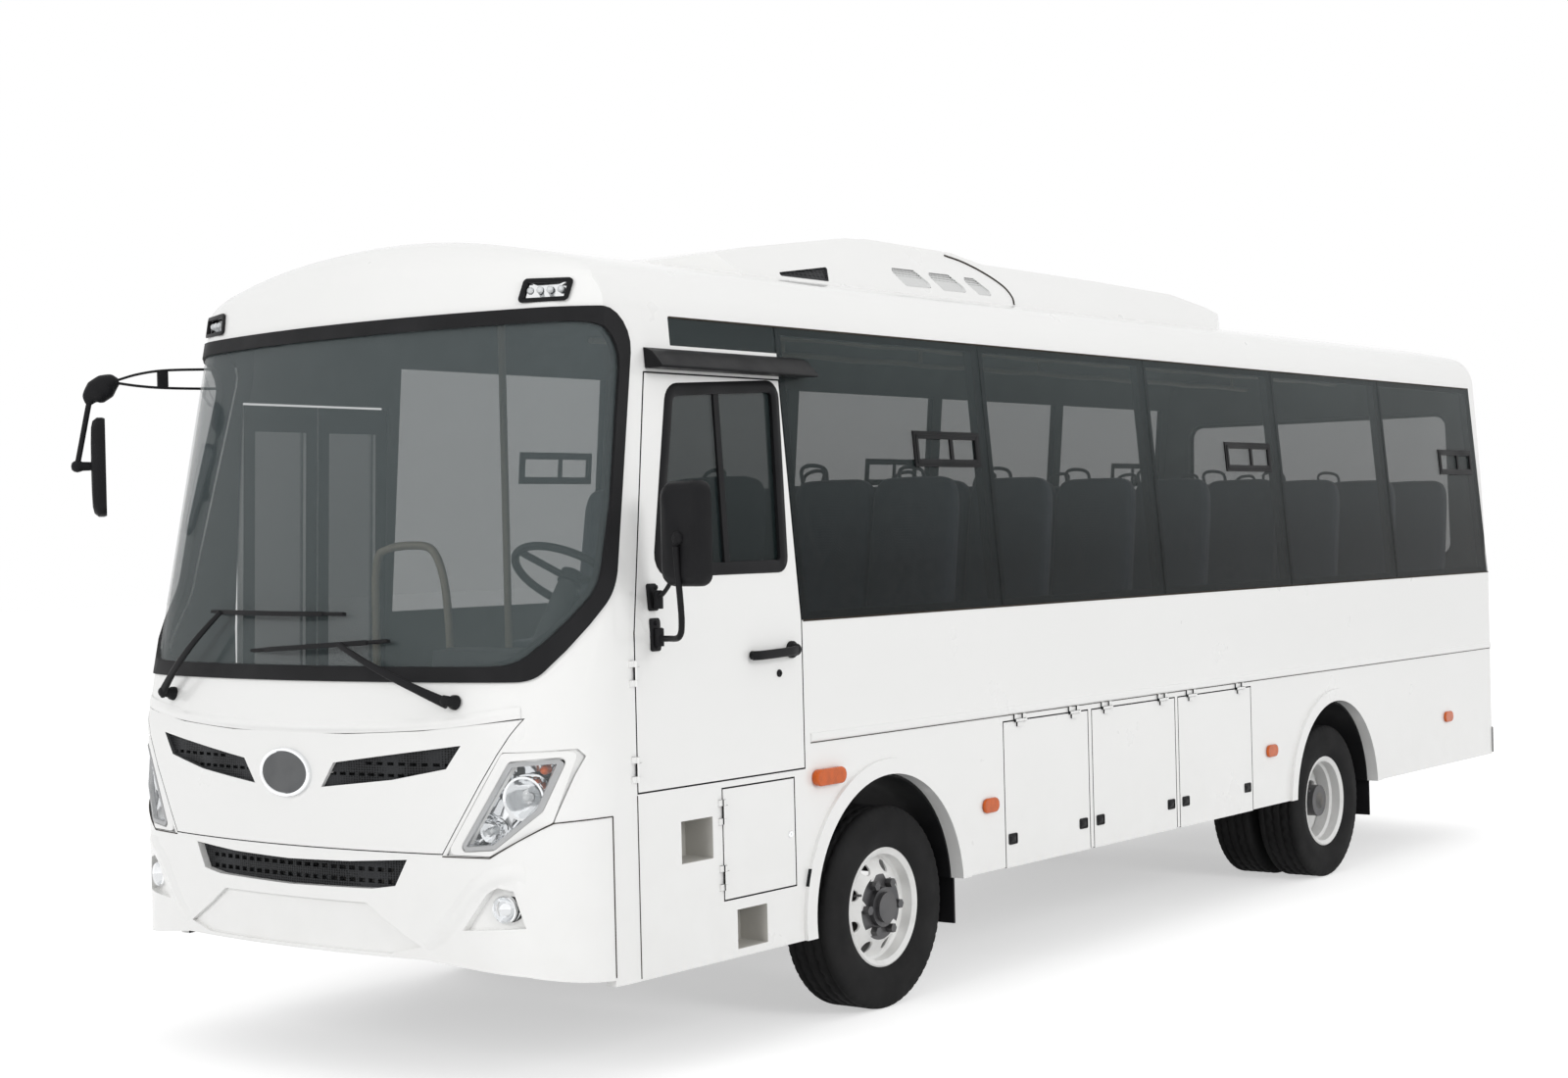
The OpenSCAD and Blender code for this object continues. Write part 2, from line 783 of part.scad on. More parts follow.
module window_glass() color("#3b4a4a") {
    both_sides() for (i = [0:len(pane_edges) - 2])
        along_x(pane_edges[i + 1] + pane_gap / 2, pane_edges[i] - pane_gap / 2)
            polygon(band(0, glass, pane_foot, window_top - 1));
    along_x(strip_x[0], strip_x[1] - 3) polygon(band(0, glass, strip_z[0] + 2, strip_z[1] - 1));
    tail_skin(rounded(rear_window, [90, 90, 90, 90]), 4, 12);
}

// The sliding vents: the pane each belongs to, and its edges ahead of that pane's rear edge
vents = [for (v = [[1, 560, 70], [3, 610, 110], [5, 590, 90]])
    [pane_edges[v[0]] + v[1], pane_edges[v[0]] + v[2]]];
vent_z = [window_top - 523, window_top - 377];

module vent_frames() color("#141414") both_sides() for (v = vents)
    difference() {
        along_x(v[1], v[0]) polygon(band(-7 - seat_gap, -seat_gap, vent_z[0], vent_z[1]));
        along_x(v[1] + 20, v[0] - 20) polygon(band(-20, 20, vent_z[0] + 18, vent_z[1] - 18));
    }

module door_visor() color("#141414") {
    low = door_head + 10;
    high = low + 76;
    foot = wall_y(low) + seat_gap;
    head = wall_y(high) + seat_gap;
    along_x(door_rear_x - 146, pillar_x + 6) polygon(
        [[foot, low], [foot + 78, low], [foot + 82, low + 6], [head + 40, high - 16], [head, high]]);
}

// Roof unit

unit_front = nose_x - 1340;
unit_long = 4820;

// Points of the unit's side view, given as (distance behind its front, height above the roof's crown).
function on_unit(points) = [for (p = points) [unit_front - p[0], roof_height + p[1]]];

// The unit from the side, along its top edges: front ramp, shroud, lower rear part.
unit_profile = on_unit([
    [0, -290], [0, -48], [210, -10], [566, 50], [943, 102], [1316, 154], [1511, 166], [2160, 158], [2254, 141],
    [2380, 121], [3412, 114], [4189, 99], [4521, 50], [4734, -8], [unit_long, -58], [unit_long, -290]
]);
unit_intake = on_unit([[600, -60], [1076, 6], [1036, -60]]);
unit_panels = [
    on_unit([[1630, -38], [1553, 42], [1750, 44], [1865, -34]]),
    on_unit([[1925, -38], [1838, 42], [2029, 44], [2149, -34]]),
    on_unit([[2218, -38], [2121, 42], [2237, 42], [2360, -36]])
];

module roof_unit() color("#f2f3f1") {
    back = unit_front - unit_long;
    difference() {
        intersection() {
            along_y(-900, 900) polygon(unit_profile);
            along_x(back - 140, unit_front + 40) polygon(rounded(
                sym([[725, roof_height - 290], [715, roof_height - 100], [530, roof_height + 220]]),
                [0, 60, 60, 60, 60, 0]));
            linear_extrude(roof_height + 400) polygon(rounded(
                [[unit_front, -520], [unit_front, 520], [unit_front - 510, 722], [back + 360, 722],
                 [back, 560], [back, -560], [back + 360, -722], [unit_front - 510, -722]],
                [120, 120, 250, 250, 120, 120, 250, 250]));
        }
        along_x(back - 240, unit_front + 140) polygon(body_section(0, 2000));
        both_sides() {
            along_y(640, 900) polygon(rounded(unit_intake, [8, 6, 8]));
            for (p = unit_panels) along_y(618, 900) polygon(rounded(p, [16, 16, 16, 16]));
        }
    }
}

// Mirrors and wipers

module rod(a, b, r) {
    d = b - a;
    translate(a) rotate([0, acos(d[2] / norm(d)), atan2(d[1], d[0])]) cylinder(r = r, h = norm(d));
}

module joint_ball(at, r) {
    translate(at) sphere(r = r, $fn = 24);
}

// The slotted arm, flat in its own plane, as (length, height from the windows' upper edge).
module mirror_arm() {
    difference() {
        polygon([[0, -148], [305, -150], [483, -130], [483, -104], [305, -68], [0, -60]]);
        polygon(rounded([[14, -138], [276, -139], [276, -78], [14, -71]], [22, 22, 22, 22]));
        polygon(rounded([[326, -137], [462, -122], [462, -112], [326, -82]], [16, 4, 4, 16]));
    }
}

// Foot on the right pillar, slotted arm, knuckle, drop arm and head.
module corner_mirror() color("#141414") {
    foot = [pillar_x + 34, 79 - half, window_top];
    bar_end = foot + [438, -204, -117];
    knuckle = foot + [493, -229, -152];
    elbow = foot + [526, -254, -175];
    drop_end = foot + [576, -279, -452];
    head = foot + [487, -264, -456];
    mirror([0, 1, 0]) along_x(pillar_x + 17, pillar_x + 51)
        polygon(band(-12 - seat_gap, -seat_gap, window_top - 180, window_top - 30));
    translate(foot) rotate([0, 0, -25]) along_y(-7, 7) mirror_arm();
    joint_ball(bar_end, 24);
    rod(bar_end, knuckle, 16);
    joint_ball(knuckle, 40);
    joint_ball(elbow, 26);
    rod(elbow, drop_end, 10);
    joint_ball(drop_end, 24);
    rod(drop_end, head, 17);
    translate(head) rotate([0, 0, 53]) block([-95, -35, -195], [95, 25, 195]);
}

// The screen's face at y and z, set out by d.
function screen_at(y, z, d) = [
    nose_x - nose_radius + sqrt(nose_radius ^ 2 - y ^ 2) - (z - crease_height) * tan(windscreen_rake) + d, y, z
];

wiper_pivots = [[745, 1343], [-735, 1343]];
spindle = 13;

module wiper_shaft(p, r) {
    rod(screen_at(p[0], p[1], -90), screen_at(p[0], p[1], 40), r);
}

// A shaft through the cap, an arm, and a blade in two lengths that follow the bowed glass.
module wiper(pivot, elbow, tip_a, tip_b) {
    knee = screen_at(elbow[0], elbow[1], 27);
    wiper_shaft(pivot, spindle);
    joint_ball(screen_at(pivot[0], pivot[1], 36), 21);
    rod(screen_at(pivot[0], pivot[1], 36), knee, 8);
    joint_ball(knee, 15);
    rod(screen_at(tip_a[0], tip_a[1], 23), knee, 9);
    rod(screen_at(tip_b[0], tip_b[1], 23), knee, 9);
}

module wipers() color("#141414") {
    wiper(wiper_pivots[0], [252, 1539], [450, 1550], [-220, 1512]);
    wiper(wiper_pivots[1], [-408, 1650], [-505, 1650], [232, 1643]);
}

module oval(x, z, w, h, d) {
    along_y(half - 1, half + d) translate([x, z]) polygon(rounded(
        [[-w / 2, -h / 2], [w / 2, -h / 2], [w / 2, h / 2], [-w / 2, h / 2]],
        [h / 2 - 1, h / 2 - 1, h / 2 - 1, h / 2 - 1]));
}

module amber_lamps() color("#e58a17") both_sides() {
    difference() {
        for (x = [front_axle_x - 689, rear_axle_x + 768, tail_x + 837]) oval(x, 735, 120, 62, 14);
        block([tail_x, half - 5, 0], [nose_x, half, 2000]);
    }
    difference() {
        oval(front_axle_x + 455, 965, 190, 64, lip_proud + 14);
        round_y(arch_x[0], arch_z, arch_radius + lip, half - 30, half + lip_proud);
        block([tail_x, half - 5, 0], [nose_x, half, 2000]);
    }
}

module wheel_housings() color("#1a1b1d") both_sides() {
    for (i = [0, 1]) difference() {
        round_y(arch_x[i], arch_z, arch_radius, i == 0 ? 640 : 560, inner);
        round_y(arch_x[i], arch_z, arch_radius - 10, 500, half);
        block([tail_x, 0, -1000], [nose_x, 2000, skirt_height]);
    }
    for (x = [arch_x[0] - arch_radius - 22, arch_x[1] - arch_radius - 22])
        block([x, 850, 270], [x + 10, inner, 640]);
}

// Cabin

wheel_at = [cap_x - 270, 620, floor_height + 740];
column_tilt = 35;

module at_column() {
    translate(wheel_at) rotate([0, -column_tilt, 0]) children();
}

module dashboard() color("#3a3d41") {
    translate([dash_x, 0, floor_height]) {
        along_y(-1000, 1000) polygon(rounded(
            [[0, 0], [270, 0], [285, 390], [170, 420], [40, 330]], [0, 0, 30, 30, 30]));
        along_y(380, 860) polygon([[60, 330], [260, 380], [240, 500], [140, 510], [20, 400]]);
    }
    at_column() translate([0, 0, -430]) cylinder(r = 40, h = 405);
    at_column() translate([0, 0, -40]) cylinder(r = 13, h = 60);
}

module steering_wheel() color("#1b1c1e") at_column() {
    difference() {
        union() {
            rotate_extrude() translate([218, 0]) circle(r = 15, $fn = 24);
            translate([0, 0, -18]) cylinder(r = 46, h = 42);
            for (a = [90, 210, 330]) rotate([0, 0, a]) block([20, -16, -8], [212, 16, 6]);
        }
        translate([0, 0, -19]) cylinder(r = 13 + running_gap, h = 41);
    }
}

seat_pitch = 760;
back_row = tail_x + 860;
seat_rows = concat([for (x = [front_axle_x - 310:-seat_pitch:back_row + seat_pitch]) x], [back_row]);
seat_width = 420;
seat_inset = 490;
cushion_z = 430;

cushion_foot = cushion_z - 90;
base_foot = cushion_foot - 30;

// A padded cushion and back over a base, drawn for a width w about y = 0.
module seat_pads(w) {
    along_y(-w / 2, w / 2) polygon(rounded(
        [[-215, cushion_foot], [225, cushion_foot], [235, cushion_z + 20], [-215, cushion_z]], [20, 30, 40, 10]));
    along_y(-w / 2, w / 2) polygon(rounded(
        [[-325, cushion_foot], [-216, cushion_foot], [-330, cushion_z + 690], [-410, cushion_z + 690]],
        [10, 10, 35, 30]));
}

module seat_pair(x, y) {
    translate([x, y, floor_height]) {
        for (s = [-1, 1]) translate([0, s * (seat_width + 8) / 2, 0]) seat_pads(seat_width);
        block([-320, -seat_width + 30, base_foot], [215, seat_width - 30, cushion_foot - seat_gap]);
        for (y0 = [-300, 240]) block([-160, y0, 0], [160, y0 + 60, base_foot - seat_gap]);
    }
}

module seats() color("#4f5b6e") {
    for (x = seat_rows) both_sides() seat_pair(x, inner - seat_inset);
    translate([nose_x - 1300, 640, floor_height]) {
        seat_pads(480);
        block([-320, -200, base_foot], [215, 200, cushion_foot - seat_gap]);
        block([-150, -170, 0], [150, 170, base_foot - seat_gap]);
    }
}

// Power and running gear

engine_x = [hump[0][0] + 100, hump[0][1] - 120];

module engine() color("#4c4f52") {
    block([engine_x[0], -230, 620], [engine_x[1], 230, hump[2] - 160]);
}

gearbox_x = engine_x[0] - 760;
pinion_reach = 235;
coupling = 50;

// The gearbox, and the shaft from it to the coupling on the axle's pinion.
module driveline() color("#3f4246") {
    shaft_end = [rear_axle_x + pinion_reach + coupling + seat_gap, 0, hub_height];
    block([gearbox_x, -170, 600], [engine_x[0], 170, 850]);
    rod([gearbox_x, 0, 700], shaft_end, 45);
    joint_ball(shaft_end, coupling);
}

kingpin_y = 880;
wheel_y = half - tyre_inset - tyre_width / 2;
twin_step = tyre_width + 30;
spring_y = rail_outer - 35;
beam_top = hub_height - 50;

module front_axle() color("#303235") {
    translate([front_axle_x, 0, 0]) along_x(-35, 35) polygon(rounded(concat(
        [[520, beam_top - 85], [760, hub_height - 45], [kingpin_y, hub_height - 45], [kingpin_y, hub_height + 45],
         [740, hub_height + 45], [500, beam_top]],
        mirrored([[520, beam_top - 85], [760, hub_height - 45], [kingpin_y, hub_height - 45],
         [kingpin_y, hub_height + 45], [740, hub_height + 45], [500, beam_top]])),
        [90, 90, 0, 0, 90, 90, 90, 90, 0, 0, 90, 90]));
    both_sides() translate([front_axle_x, kingpin_y, hub_height]) {
        translate([0, 0, -55]) cylinder(r = 48, h = 110);
        translate([0, 0, -112]) cylinder(r = kingpin_radius, h = 224);
    }
}

module knuckle() {
    translate([front_axle_x, kingpin_y, hub_height]) difference() {
        union() {
            for (z = [-105, 60]) block([-58, -45, z], [58, 85, z + 45]);
            block([-58, 55, -105], [58, 85, 105]);
            translate([0, 85, 0]) rotate([-90, 0, 0]) cylinder(r = spindle_radius, h = 105);
        }
        translate([0, 0, -200]) cylinder(r = kingpin_radius + running_gap, h = 400);
    }
}

module knuckle_left() color("#3a3c40") knuckle();

module knuckle_right() color("#3a3c40") mirror([0, 1, 0]) knuckle();

module rear_axle() color("#303235") {
    translate([rear_axle_x, 0, hub_height]) {
        rotate([90, 0, 0]) translate([0, 0, -862]) cylinder(r = 62, h = 1724);
        rotate([90, 0, 0]) translate([0, 0, -1050]) cylinder(r = spindle_radius + 8, h = 2100);
        rotate([-90, 0, 0]) rotate_extrude() polygon(rounded(
            [[0, -230], [70, -230], [185, -80], [185, 80], [70, 230], [0, 230]], [0, 0, 50, 50, 0, 0]));
        both_sides() block([-110, spring_y - 50, -72], [110, spring_y + 50, 76]);
        rotate([0, 90, 0]) cylinder(r = 62, h = pinion_reach);
    }
}

// A leaf spring with its hangers, from the axle's seat up to the rail.
module spring(x, seat) {
    eye = rail_foot - 60;
    translate([x, 0, 0]) along_y(spring_y - 33, spring_y + 33) polygon([
        [-90, seat], [90, seat], [330, seat + 40], [600, eye - 45], [690, eye - 30], [690, rail_foot],
        [610, rail_foot], [600, eye + 5], [300, seat + 105], [90, seat + 85], [-90, seat + 85], [-300, seat + 105], [-600, eye + 5],
        [-610, rail_foot], [-690, rail_foot], [-690, eye - 30], [-600, eye - 45], [-330, seat + 40]
    ]);
}

module springs() color("#2a2b2d") both_sides() {
    spring(front_axle_x, beam_top);
    spring(rear_axle_x, hub_height + 76);
}

module fuel_tank() color("#53575b") {
    along_x(tail_x + 950, tail_x + 1650) polygon(rounded(
        [[510, 500], [1050, 500], [1050, 850], [510, 850]], [50, 50, 50, 50]));
    for (x = [tail_x + 1100, tail_x + 1440]) block([x, rail_outer, 690], [x + 60, 530, 800]);
}

pipe_x = engine_x[0] + 80;
pipe_y = -285;
pipe_z = 620;
pipe_radius = 36;

module exhaust() color("#6c655d") {
    round_x(pipe_y, pipe_z, pipe_radius, tail_x + 70, pipe_x);
    round_x(pipe_y, pipe_z, 105, tail_x + 1080, tail_x + 1680);
    joint_ball([pipe_x, pipe_y, pipe_z], 46);
    round_z(pipe_x, pipe_y, pipe_radius, pipe_z, 720);
    joint_ball([pipe_x, pipe_y, 720], 44);
    round_y(pipe_x, 720, pipe_radius, pipe_y, -230);
    for (x = [bearers[6], bearers[5], bearers[1]])
        block([x - 15, pipe_y - 15, pipe_z + 10], [x + 15, pipe_y + 15, rail_top - 80]);
}

// Wheels

bead = 222;
tread_half = 96;
groove = 9;

function tyre_profile() =
    let (r = tyre_diameter / 2, w = tyre_width / 2)
    concat(
        [[bead + 0.3, -80], [bead + 14, -90], [bead + 60, -w + 4], [bead + 95, -w], [bead + 130, -w + 5],
         [r - 16, -tread_half - 8], [r - 4, -tread_half]],
        [for (g = [-50, 0, 50]) each [[r, g - 7], [r - groove, g - 5], [r - groove, g + 5], [r, g + 7]]],
        [[r - 4, tread_half], [r - 16, tread_half + 8], [bead + 130, w - 5], [bead + 95, w], [bead + 60, w - 4],
         [bead + 14, 90], [bead + 0.3, 80]]
    );

module tyre() {
    rotate([-90, 0, 0]) rotate_extrude($fn = 96) polygon(tyre_profile());
}

// The rolled barrel of a rim, with its two flanges.
module rim_barrel() {
    rotate_extrude($fn = 96) polygon([
        [bead - 12, -86], [bead + 8, -98], [bead + 14, -94], [bead, -82], [bead, 82], [bead + 14, 94], [bead + 8, 98],
        [bead - 12, 86], [bead - 12, 40], [bead - 24, 30], [bead - 24, -30], [bead - 12, -40]
    ]);
}

hole_circle = 166;
stud_circle = 104;

// A wheel's disc with hand holes and nuts: h is its face, and out the way it bulges.
module rim_disc(h, out) {
    difference() {
        rotate_extrude($fn = 96) polygon([
            [30, h - 6], [132, h - 6], [190, h - 6 - out], [bead - 11, h - 6 - out * 1.25],
            [bead - 11, h + 6 - out * 1.25], [184, h + 6 - out], [130, h + 6], [30, h + 6]
        ]);
        for (i = [0:7]) rotate([0, 0, i * 45 + 22.5]) translate([hole_circle, 0, h - 200])
            cylinder(r = 24, h = 400);
    }
}

module nuts(h, tall) {
    for (i = [0:5]) rotate([0, 0, i * 60]) translate([stud_circle, 0, h]) cylinder(r = 19, h = tall, $fn = 6);
}

module rim_front() {
    translate([front_axle_x, wheel_y, hub_height]) rotate([-90, 0, 0]) difference() {
        union() {
            rim_barrel();
            rim_disc(72, 40);
            nuts(70, 36);
            translate([0, 0, -14]) cylinder(r = 78, h = 112);
            translate([0, 0, 90]) cylinder(r = 60, h = 26);
        }
        translate([0, 0, -15]) cylinder(r = spindle_radius + running_gap, h = 106);
    }
}

module rims_rear() {
    mid = wheel_y - twin_step / 2;
    hub_in = 862 - mid + 8;
    translate([rear_axle_x, 0, hub_height]) rotate([-90, 0, 0]) difference() {
        union() {
            translate([0, 0, wheel_y]) rim_barrel();
            translate([0, 0, wheel_y - twin_step]) rim_barrel();
            translate([0, 0, mid]) rim_disc(6, -70);
            translate([0, 0, mid]) rim_disc(-6, 70);
            translate([0, 0, mid]) nuts(10, 34);
            translate([0, 0, mid - 30]) cylinder(r = 82, h = 225);
        }
        translate([0, 0, mid - 31]) cylinder(r = 70, h = 31 + hub_in);
        cylinder(r = spindle_radius + 8 + running_gap, h = 1054);
    }
}

module tyre_front() {
    translate([front_axle_x, wheel_y, hub_height]) tyre();
}

module tyres_rear() {
    for (d = [0, twin_step]) translate([rear_axle_x, wheel_y - d, hub_height]) tyre();
}

module tyre_front_left() color("#1c1c1d") tyre_front();

module tyre_front_right() color("#1c1c1d") mirror([0, 1, 0]) tyre_front();

module tyres_rear_left() color("#1c1c1d") tyres_rear();

module tyres_rear_right() color("#1c1c1d") mirror([0, 1, 0]) tyres_rear();

module rim_front_left() color("#c8cbcd") rim_front();

module rim_front_right() color("#c8cbcd") mirror([0, 1, 0]) rim_front();

module rims_rear_left() color("#c8cbcd") rims_rear();

module rims_rear_right() color("#c8cbcd") mirror([0, 1, 0]) rims_rear();

// Doors and flaps

door_sill = waist_height + 217;
door_window = [
    [door_rear_x + 86, door_sill], [cap_x - 168, door_sill], [pillar_x - 125, door_head - 70],
    [door_rear_x + 44, door_head - 38]
];

module door_outline(d) {
    polygon([
        [door_rear_x + d, door_foot + d], [cap_x - d, door_foot + d], [cap_x - d, waist_height],
        [pillar_line(door_head) - d, door_head - d], [door_rear_x + d, door_head - d]
    ]);
}

module driver_door() color("#f2f3f1") {
    difference() {
        intersection() {
            along_x(door_rear_x, cap_x) polygon(wall_section(0, wall, door_foot, door_head));
            along_y(0, 2000) door_outline(shut_gap);
        }
        along_y(0, 2000) polygon(rounded(door_window, [30, 40, 50, 30]));
    }
    for (z = door_hinges) at_upright(door_axis_x, z) hinge_leaf();
}

module driver_door_glass() color("#3b4a4a") {
    intersection() {
        along_x(door_rear_x, cap_x) polygon(band(14, 20, door_sill - 77, door_head - 10));
        along_y(0, 2000) polygon(rounded(door_window, [30, 40, 50, 30]));
    }
}

module driver_door_fittings() color("#141414") {
    x = cap_x - 110;
    foot = [x + 50, half + 128, waist_height + 60];
    neck = [x + 60, half + 150, waist_height + 120];
    block([x - 30, half, waist_height - 70], [x + 30, half + 12, waist_height + 160]);
    rod([x, half + 24, waist_height - 50], foot, 11);
    rod([x, half + 8, waist_height + 120], neck, 10);
    joint_ball(foot, 17);
    joint_ball(neck, 17);
    rod(foot, neck, 12);
    round_z(neck[0], neck[1], 12, neck[2], waist_height + 230);
    translate([x + 70, half + 185, waist_height + 336]) rotate([0, 0, -12])
        block([-35, -112, -180], [35, 112, 180]);
    block([door_rear_x + 54, half, waist_height - 128], [door_rear_x + 329, half + 26, waist_height - 94]);
}

module luggage_flap(i) {
    f = flap_edges[i];
    block([f[1] + shut_gap, half - wall + 10, flap_foot], [f[0] - shut_gap, half, flap_top - shut_gap]);
    for (x = flap_hinges(f)) at_flap(x) hinge_leaf();
}

module flap_left_1() color("#f2f3f1") luggage_flap(0);

module flap_left_2() color("#f2f3f1") luggage_flap(1);

module flap_left_3() color("#f2f3f1") luggage_flap(2);

module flap_right_1() color("#f2f3f1") mirror([0, 1, 0]) luggage_flap(0);

module flap_right_2() color("#f2f3f1") mirror([0, 1, 0]) luggage_flap(1);

module flap_right_3() color("#f2f3f1") mirror([0, 1, 0]) luggage_flap(2);

module battery_door() color("#f2f3f1") {
    block([battery_x[0] + shut_gap, half - 30, battery_z[0] + shut_gap],
        [battery_x[1] - shut_gap, half, battery_z[1] - shut_gap]);
    for (z = battery_hinges) at_upright(battery_x[1] - 3, z) hinge_leaf();
}

// The entry door's two leaves hang in a plane tilted in from the sill to the head.
entry_foot = 402;
entry_head = door_head - shut_gap;
entry_out = half - 4;
entry_in = wall_y(door_head) - 6;
entry_tilt = atan((entry_out - entry_in) / (entry_head - entry_foot));
leaf_thick = 36;
entry_mid = (entry_x[0] + entry_x[1]) / 2;

// The rear leaf's free edge swings out past its place at rest before it runs forward
leaf_swing_gap = 13;
leaf_tall = (entry_head - entry_foot) / cos(entry_tilt);

// Brings a leaf drawn in the door's own plane (x, up from the foot, in from the face) to its place.
module in_entry_plane() {
    translate([0, -entry_out, entry_foot]) rotate([-entry_tilt, 0, 0]) children();
}

leaf_glass_z = [150, leaf_tall - 110];

module leaf(x0, x1) {
    in_entry_plane() difference() {
        block([x0, 0, 12], [x1, leaf_thick, leaf_tall - 4]);
        block([x0 + 60, -1, leaf_glass_z[0]], [x1 - 60, leaf_thick + 1, leaf_glass_z[1]]);
    }
}

module leaf_glass(x0, x1) {
    in_entry_plane() block([x0 + 60, 12, leaf_glass_z[0]], [x1 - 60, 18, leaf_glass_z[1]]);
}

leaf_hinges = [260, leaf_tall / 2 - 32, leaf_tall - 304];
pivot_at = [entry_x[1] - 24, leaf_thick + 14];
pivot_radius = 8;

module at_leaf_hinge(z) {
    in_entry_plane() translate([entry_mid, -hinge_out, z]) rotate([180, 0, 0]) rotate([0, 90, 0]) children();
}

module entry_pivot(r, z0, z1) {
    in_entry_plane() round_z(pivot_at[0], pivot_at[1], r, z0, z1);
}

module entry_leaf_front() color("#e9ebea") {
    leaf(entry_mid + 3, entry_x[1] - shut_gap);
    for (z = leaf_hinges) at_leaf_hinge(z) hinge_ears();
    difference() {
        in_entry_plane() block([pivot_at[0] - 22, leaf_thick - 2, 24], [pivot_at[0] + 12, pivot_at[1] + 13, 64]);
        entry_pivot(pivot_radius + running_gap, 20, 70);
    }
}

module entry_glass_front() color("#3b4a4a") leaf_glass(entry_mid + 3, entry_x[1] - shut_gap);

module entry_leaf_rear() color("#e9ebea") {
    leaf(entry_x[0] + leaf_swing_gap, entry_mid - 3);
    for (z = leaf_hinges) at_leaf_hinge(z) hinge_leaf();
}

module entry_glass_rear() color("#3b4a4a") leaf_glass(entry_x[0] + leaf_swing_gap, entry_mid - 3);

chassis_frame();
floor();
luggage_bays();
left_wall();
right_wall();
roof();
front_cap();
nose_panel();
front_bumper();
rear_cap();
windscreen();
windscreen_seal();
window_glass();
vent_frames();
roof_unit();
wipers();
door_visor();
headlamps();
amber_lamps();
tail_lamps();
grilles();
corner_mirror();
wheel_housings();
dashboard();
seats();
engine();
driveline();
front_axle();
rear_axle();
springs();
fuel_tank();
exhaust();
knuckle_left();
knuckle_right();
tyre_front_left();
rim_front_left();
tyre_front_right();
rim_front_right();
tyres_rear_left();
rims_rear_left();
tyres_rear_right();
rims_rear_right();
driver_door();
driver_door_glass();
driver_door_fittings();
entry_leaf_front();
entry_glass_front();
entry_leaf_rear();
entry_glass_rear();
steering_wheel();
flap_left_1();
flap_left_2();
flap_left_3();
flap_right_1();
flap_right_2();
flap_right_3();
boot_lid();
battery_door();
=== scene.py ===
# %% [markdown]
# # A white midi coach, dressed
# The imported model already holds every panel, door and wheel at its real size. This lesson adds what
# the eye looks for next: paint, tinted glass, rubber, lamps, tyre tread and trim. Each new piece is
# worked out as arrays of points and rides on the body that carries it on the real coach.

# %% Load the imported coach
import json
import math

import bmesh
import bpy
import numpy as np
from mathutils import Matrix, Vector


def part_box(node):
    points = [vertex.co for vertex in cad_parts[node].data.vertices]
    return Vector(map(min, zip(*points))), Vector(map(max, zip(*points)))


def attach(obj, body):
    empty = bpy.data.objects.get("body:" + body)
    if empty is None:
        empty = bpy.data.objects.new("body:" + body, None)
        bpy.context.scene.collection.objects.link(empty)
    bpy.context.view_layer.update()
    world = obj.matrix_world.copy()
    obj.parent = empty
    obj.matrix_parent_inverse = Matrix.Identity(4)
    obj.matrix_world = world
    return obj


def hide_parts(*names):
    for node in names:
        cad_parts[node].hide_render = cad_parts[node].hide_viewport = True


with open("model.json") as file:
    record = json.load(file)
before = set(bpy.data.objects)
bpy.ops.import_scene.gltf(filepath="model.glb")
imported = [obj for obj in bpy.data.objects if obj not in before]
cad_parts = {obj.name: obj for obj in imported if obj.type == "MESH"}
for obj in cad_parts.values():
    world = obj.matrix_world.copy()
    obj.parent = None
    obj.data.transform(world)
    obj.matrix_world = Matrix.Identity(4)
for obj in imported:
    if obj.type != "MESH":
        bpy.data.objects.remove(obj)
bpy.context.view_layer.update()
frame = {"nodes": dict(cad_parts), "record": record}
NODES = frame["nodes"]
BODIES = frame["record"]["behaviour"]["bodies"]
BODY_OF = {node: body for body, nodes in BODIES.items() for node in nodes}
COACH = BODY_OF["chassis_frame"]
print(f"{len(NODES)} solids on {len(BODIES)} bodies")

# %% [markdown]
# ## The measures that the trim follows
# Trim sits on the walls, so it needs to know where they are. The walls stand upright to the waist and
# lean in above it. The nose is bowed in plan: one wide arc, and a tighter arc at each corner. The same
# few sizes that shaped the solids are enough to place everything.

# %% Sizes and places
WALL = 0.045
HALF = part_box("floor")[1].y + WALL
GLASS_LOW, GLASS_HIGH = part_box("window_glass")
WAIST, WINDOW_TOP = GLASS_LOW.z - 0.002, GLASS_HIGH.z + 0.001
LEAN_IN, LEAN_FROM, LEAN_TO = 0.100, 1.560, 2.670
LEAN = LEAN_IN / (LEAN_TO - LEAN_FROM)
NOSE, TAIL = 4.300, -4.300
NOSE_RADIUS, CORNER_RADIUS = 3.500, 0.400
CREASE, RAKE = 1.250, math.tan(math.radians(12.7))
ROOF_TOP, ROOF_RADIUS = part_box("roof")[1].z, 3.400
DOOR_REAR = 2.776
LEFT, RIGHT = 1, -1


def wall_y(z):
    """Half-width of the walls: constant up to the waist, then falling in proportion to the height."""
    return HALF - np.maximum(np.asarray(z, float) - WAIST, 0) * LEAN


def nose_x(y):
    """The nose's line in plan: a wide arc about the middle, and past its tangent point a corner arc."""
    y = np.abs(np.asarray(y, float))
    centre_y = HALF - CORNER_RADIUS
    centre_x = NOSE - NOSE_RADIUS + math.sqrt((NOSE_RADIUS - CORNER_RADIUS) ** 2 - centre_y**2)
    wide = NOSE - NOSE_RADIUS + np.sqrt(NOSE_RADIUS**2 - y**2)
    corner = centre_x + np.sqrt(np.maximum(CORNER_RADIUS**2 - (y - centre_y) ** 2, 0))
    return np.where(y < centre_y * NOSE_RADIUS / (NOSE_RADIUS - CORNER_RADIUS), wide, corner)


def roof_z(y):
    """The roof's camber: an arc about the coach's middle."""
    return ROOF_TOP - ROOF_RADIUS + np.sqrt(ROOF_RADIUS**2 - np.asarray(y, float) ** 2)


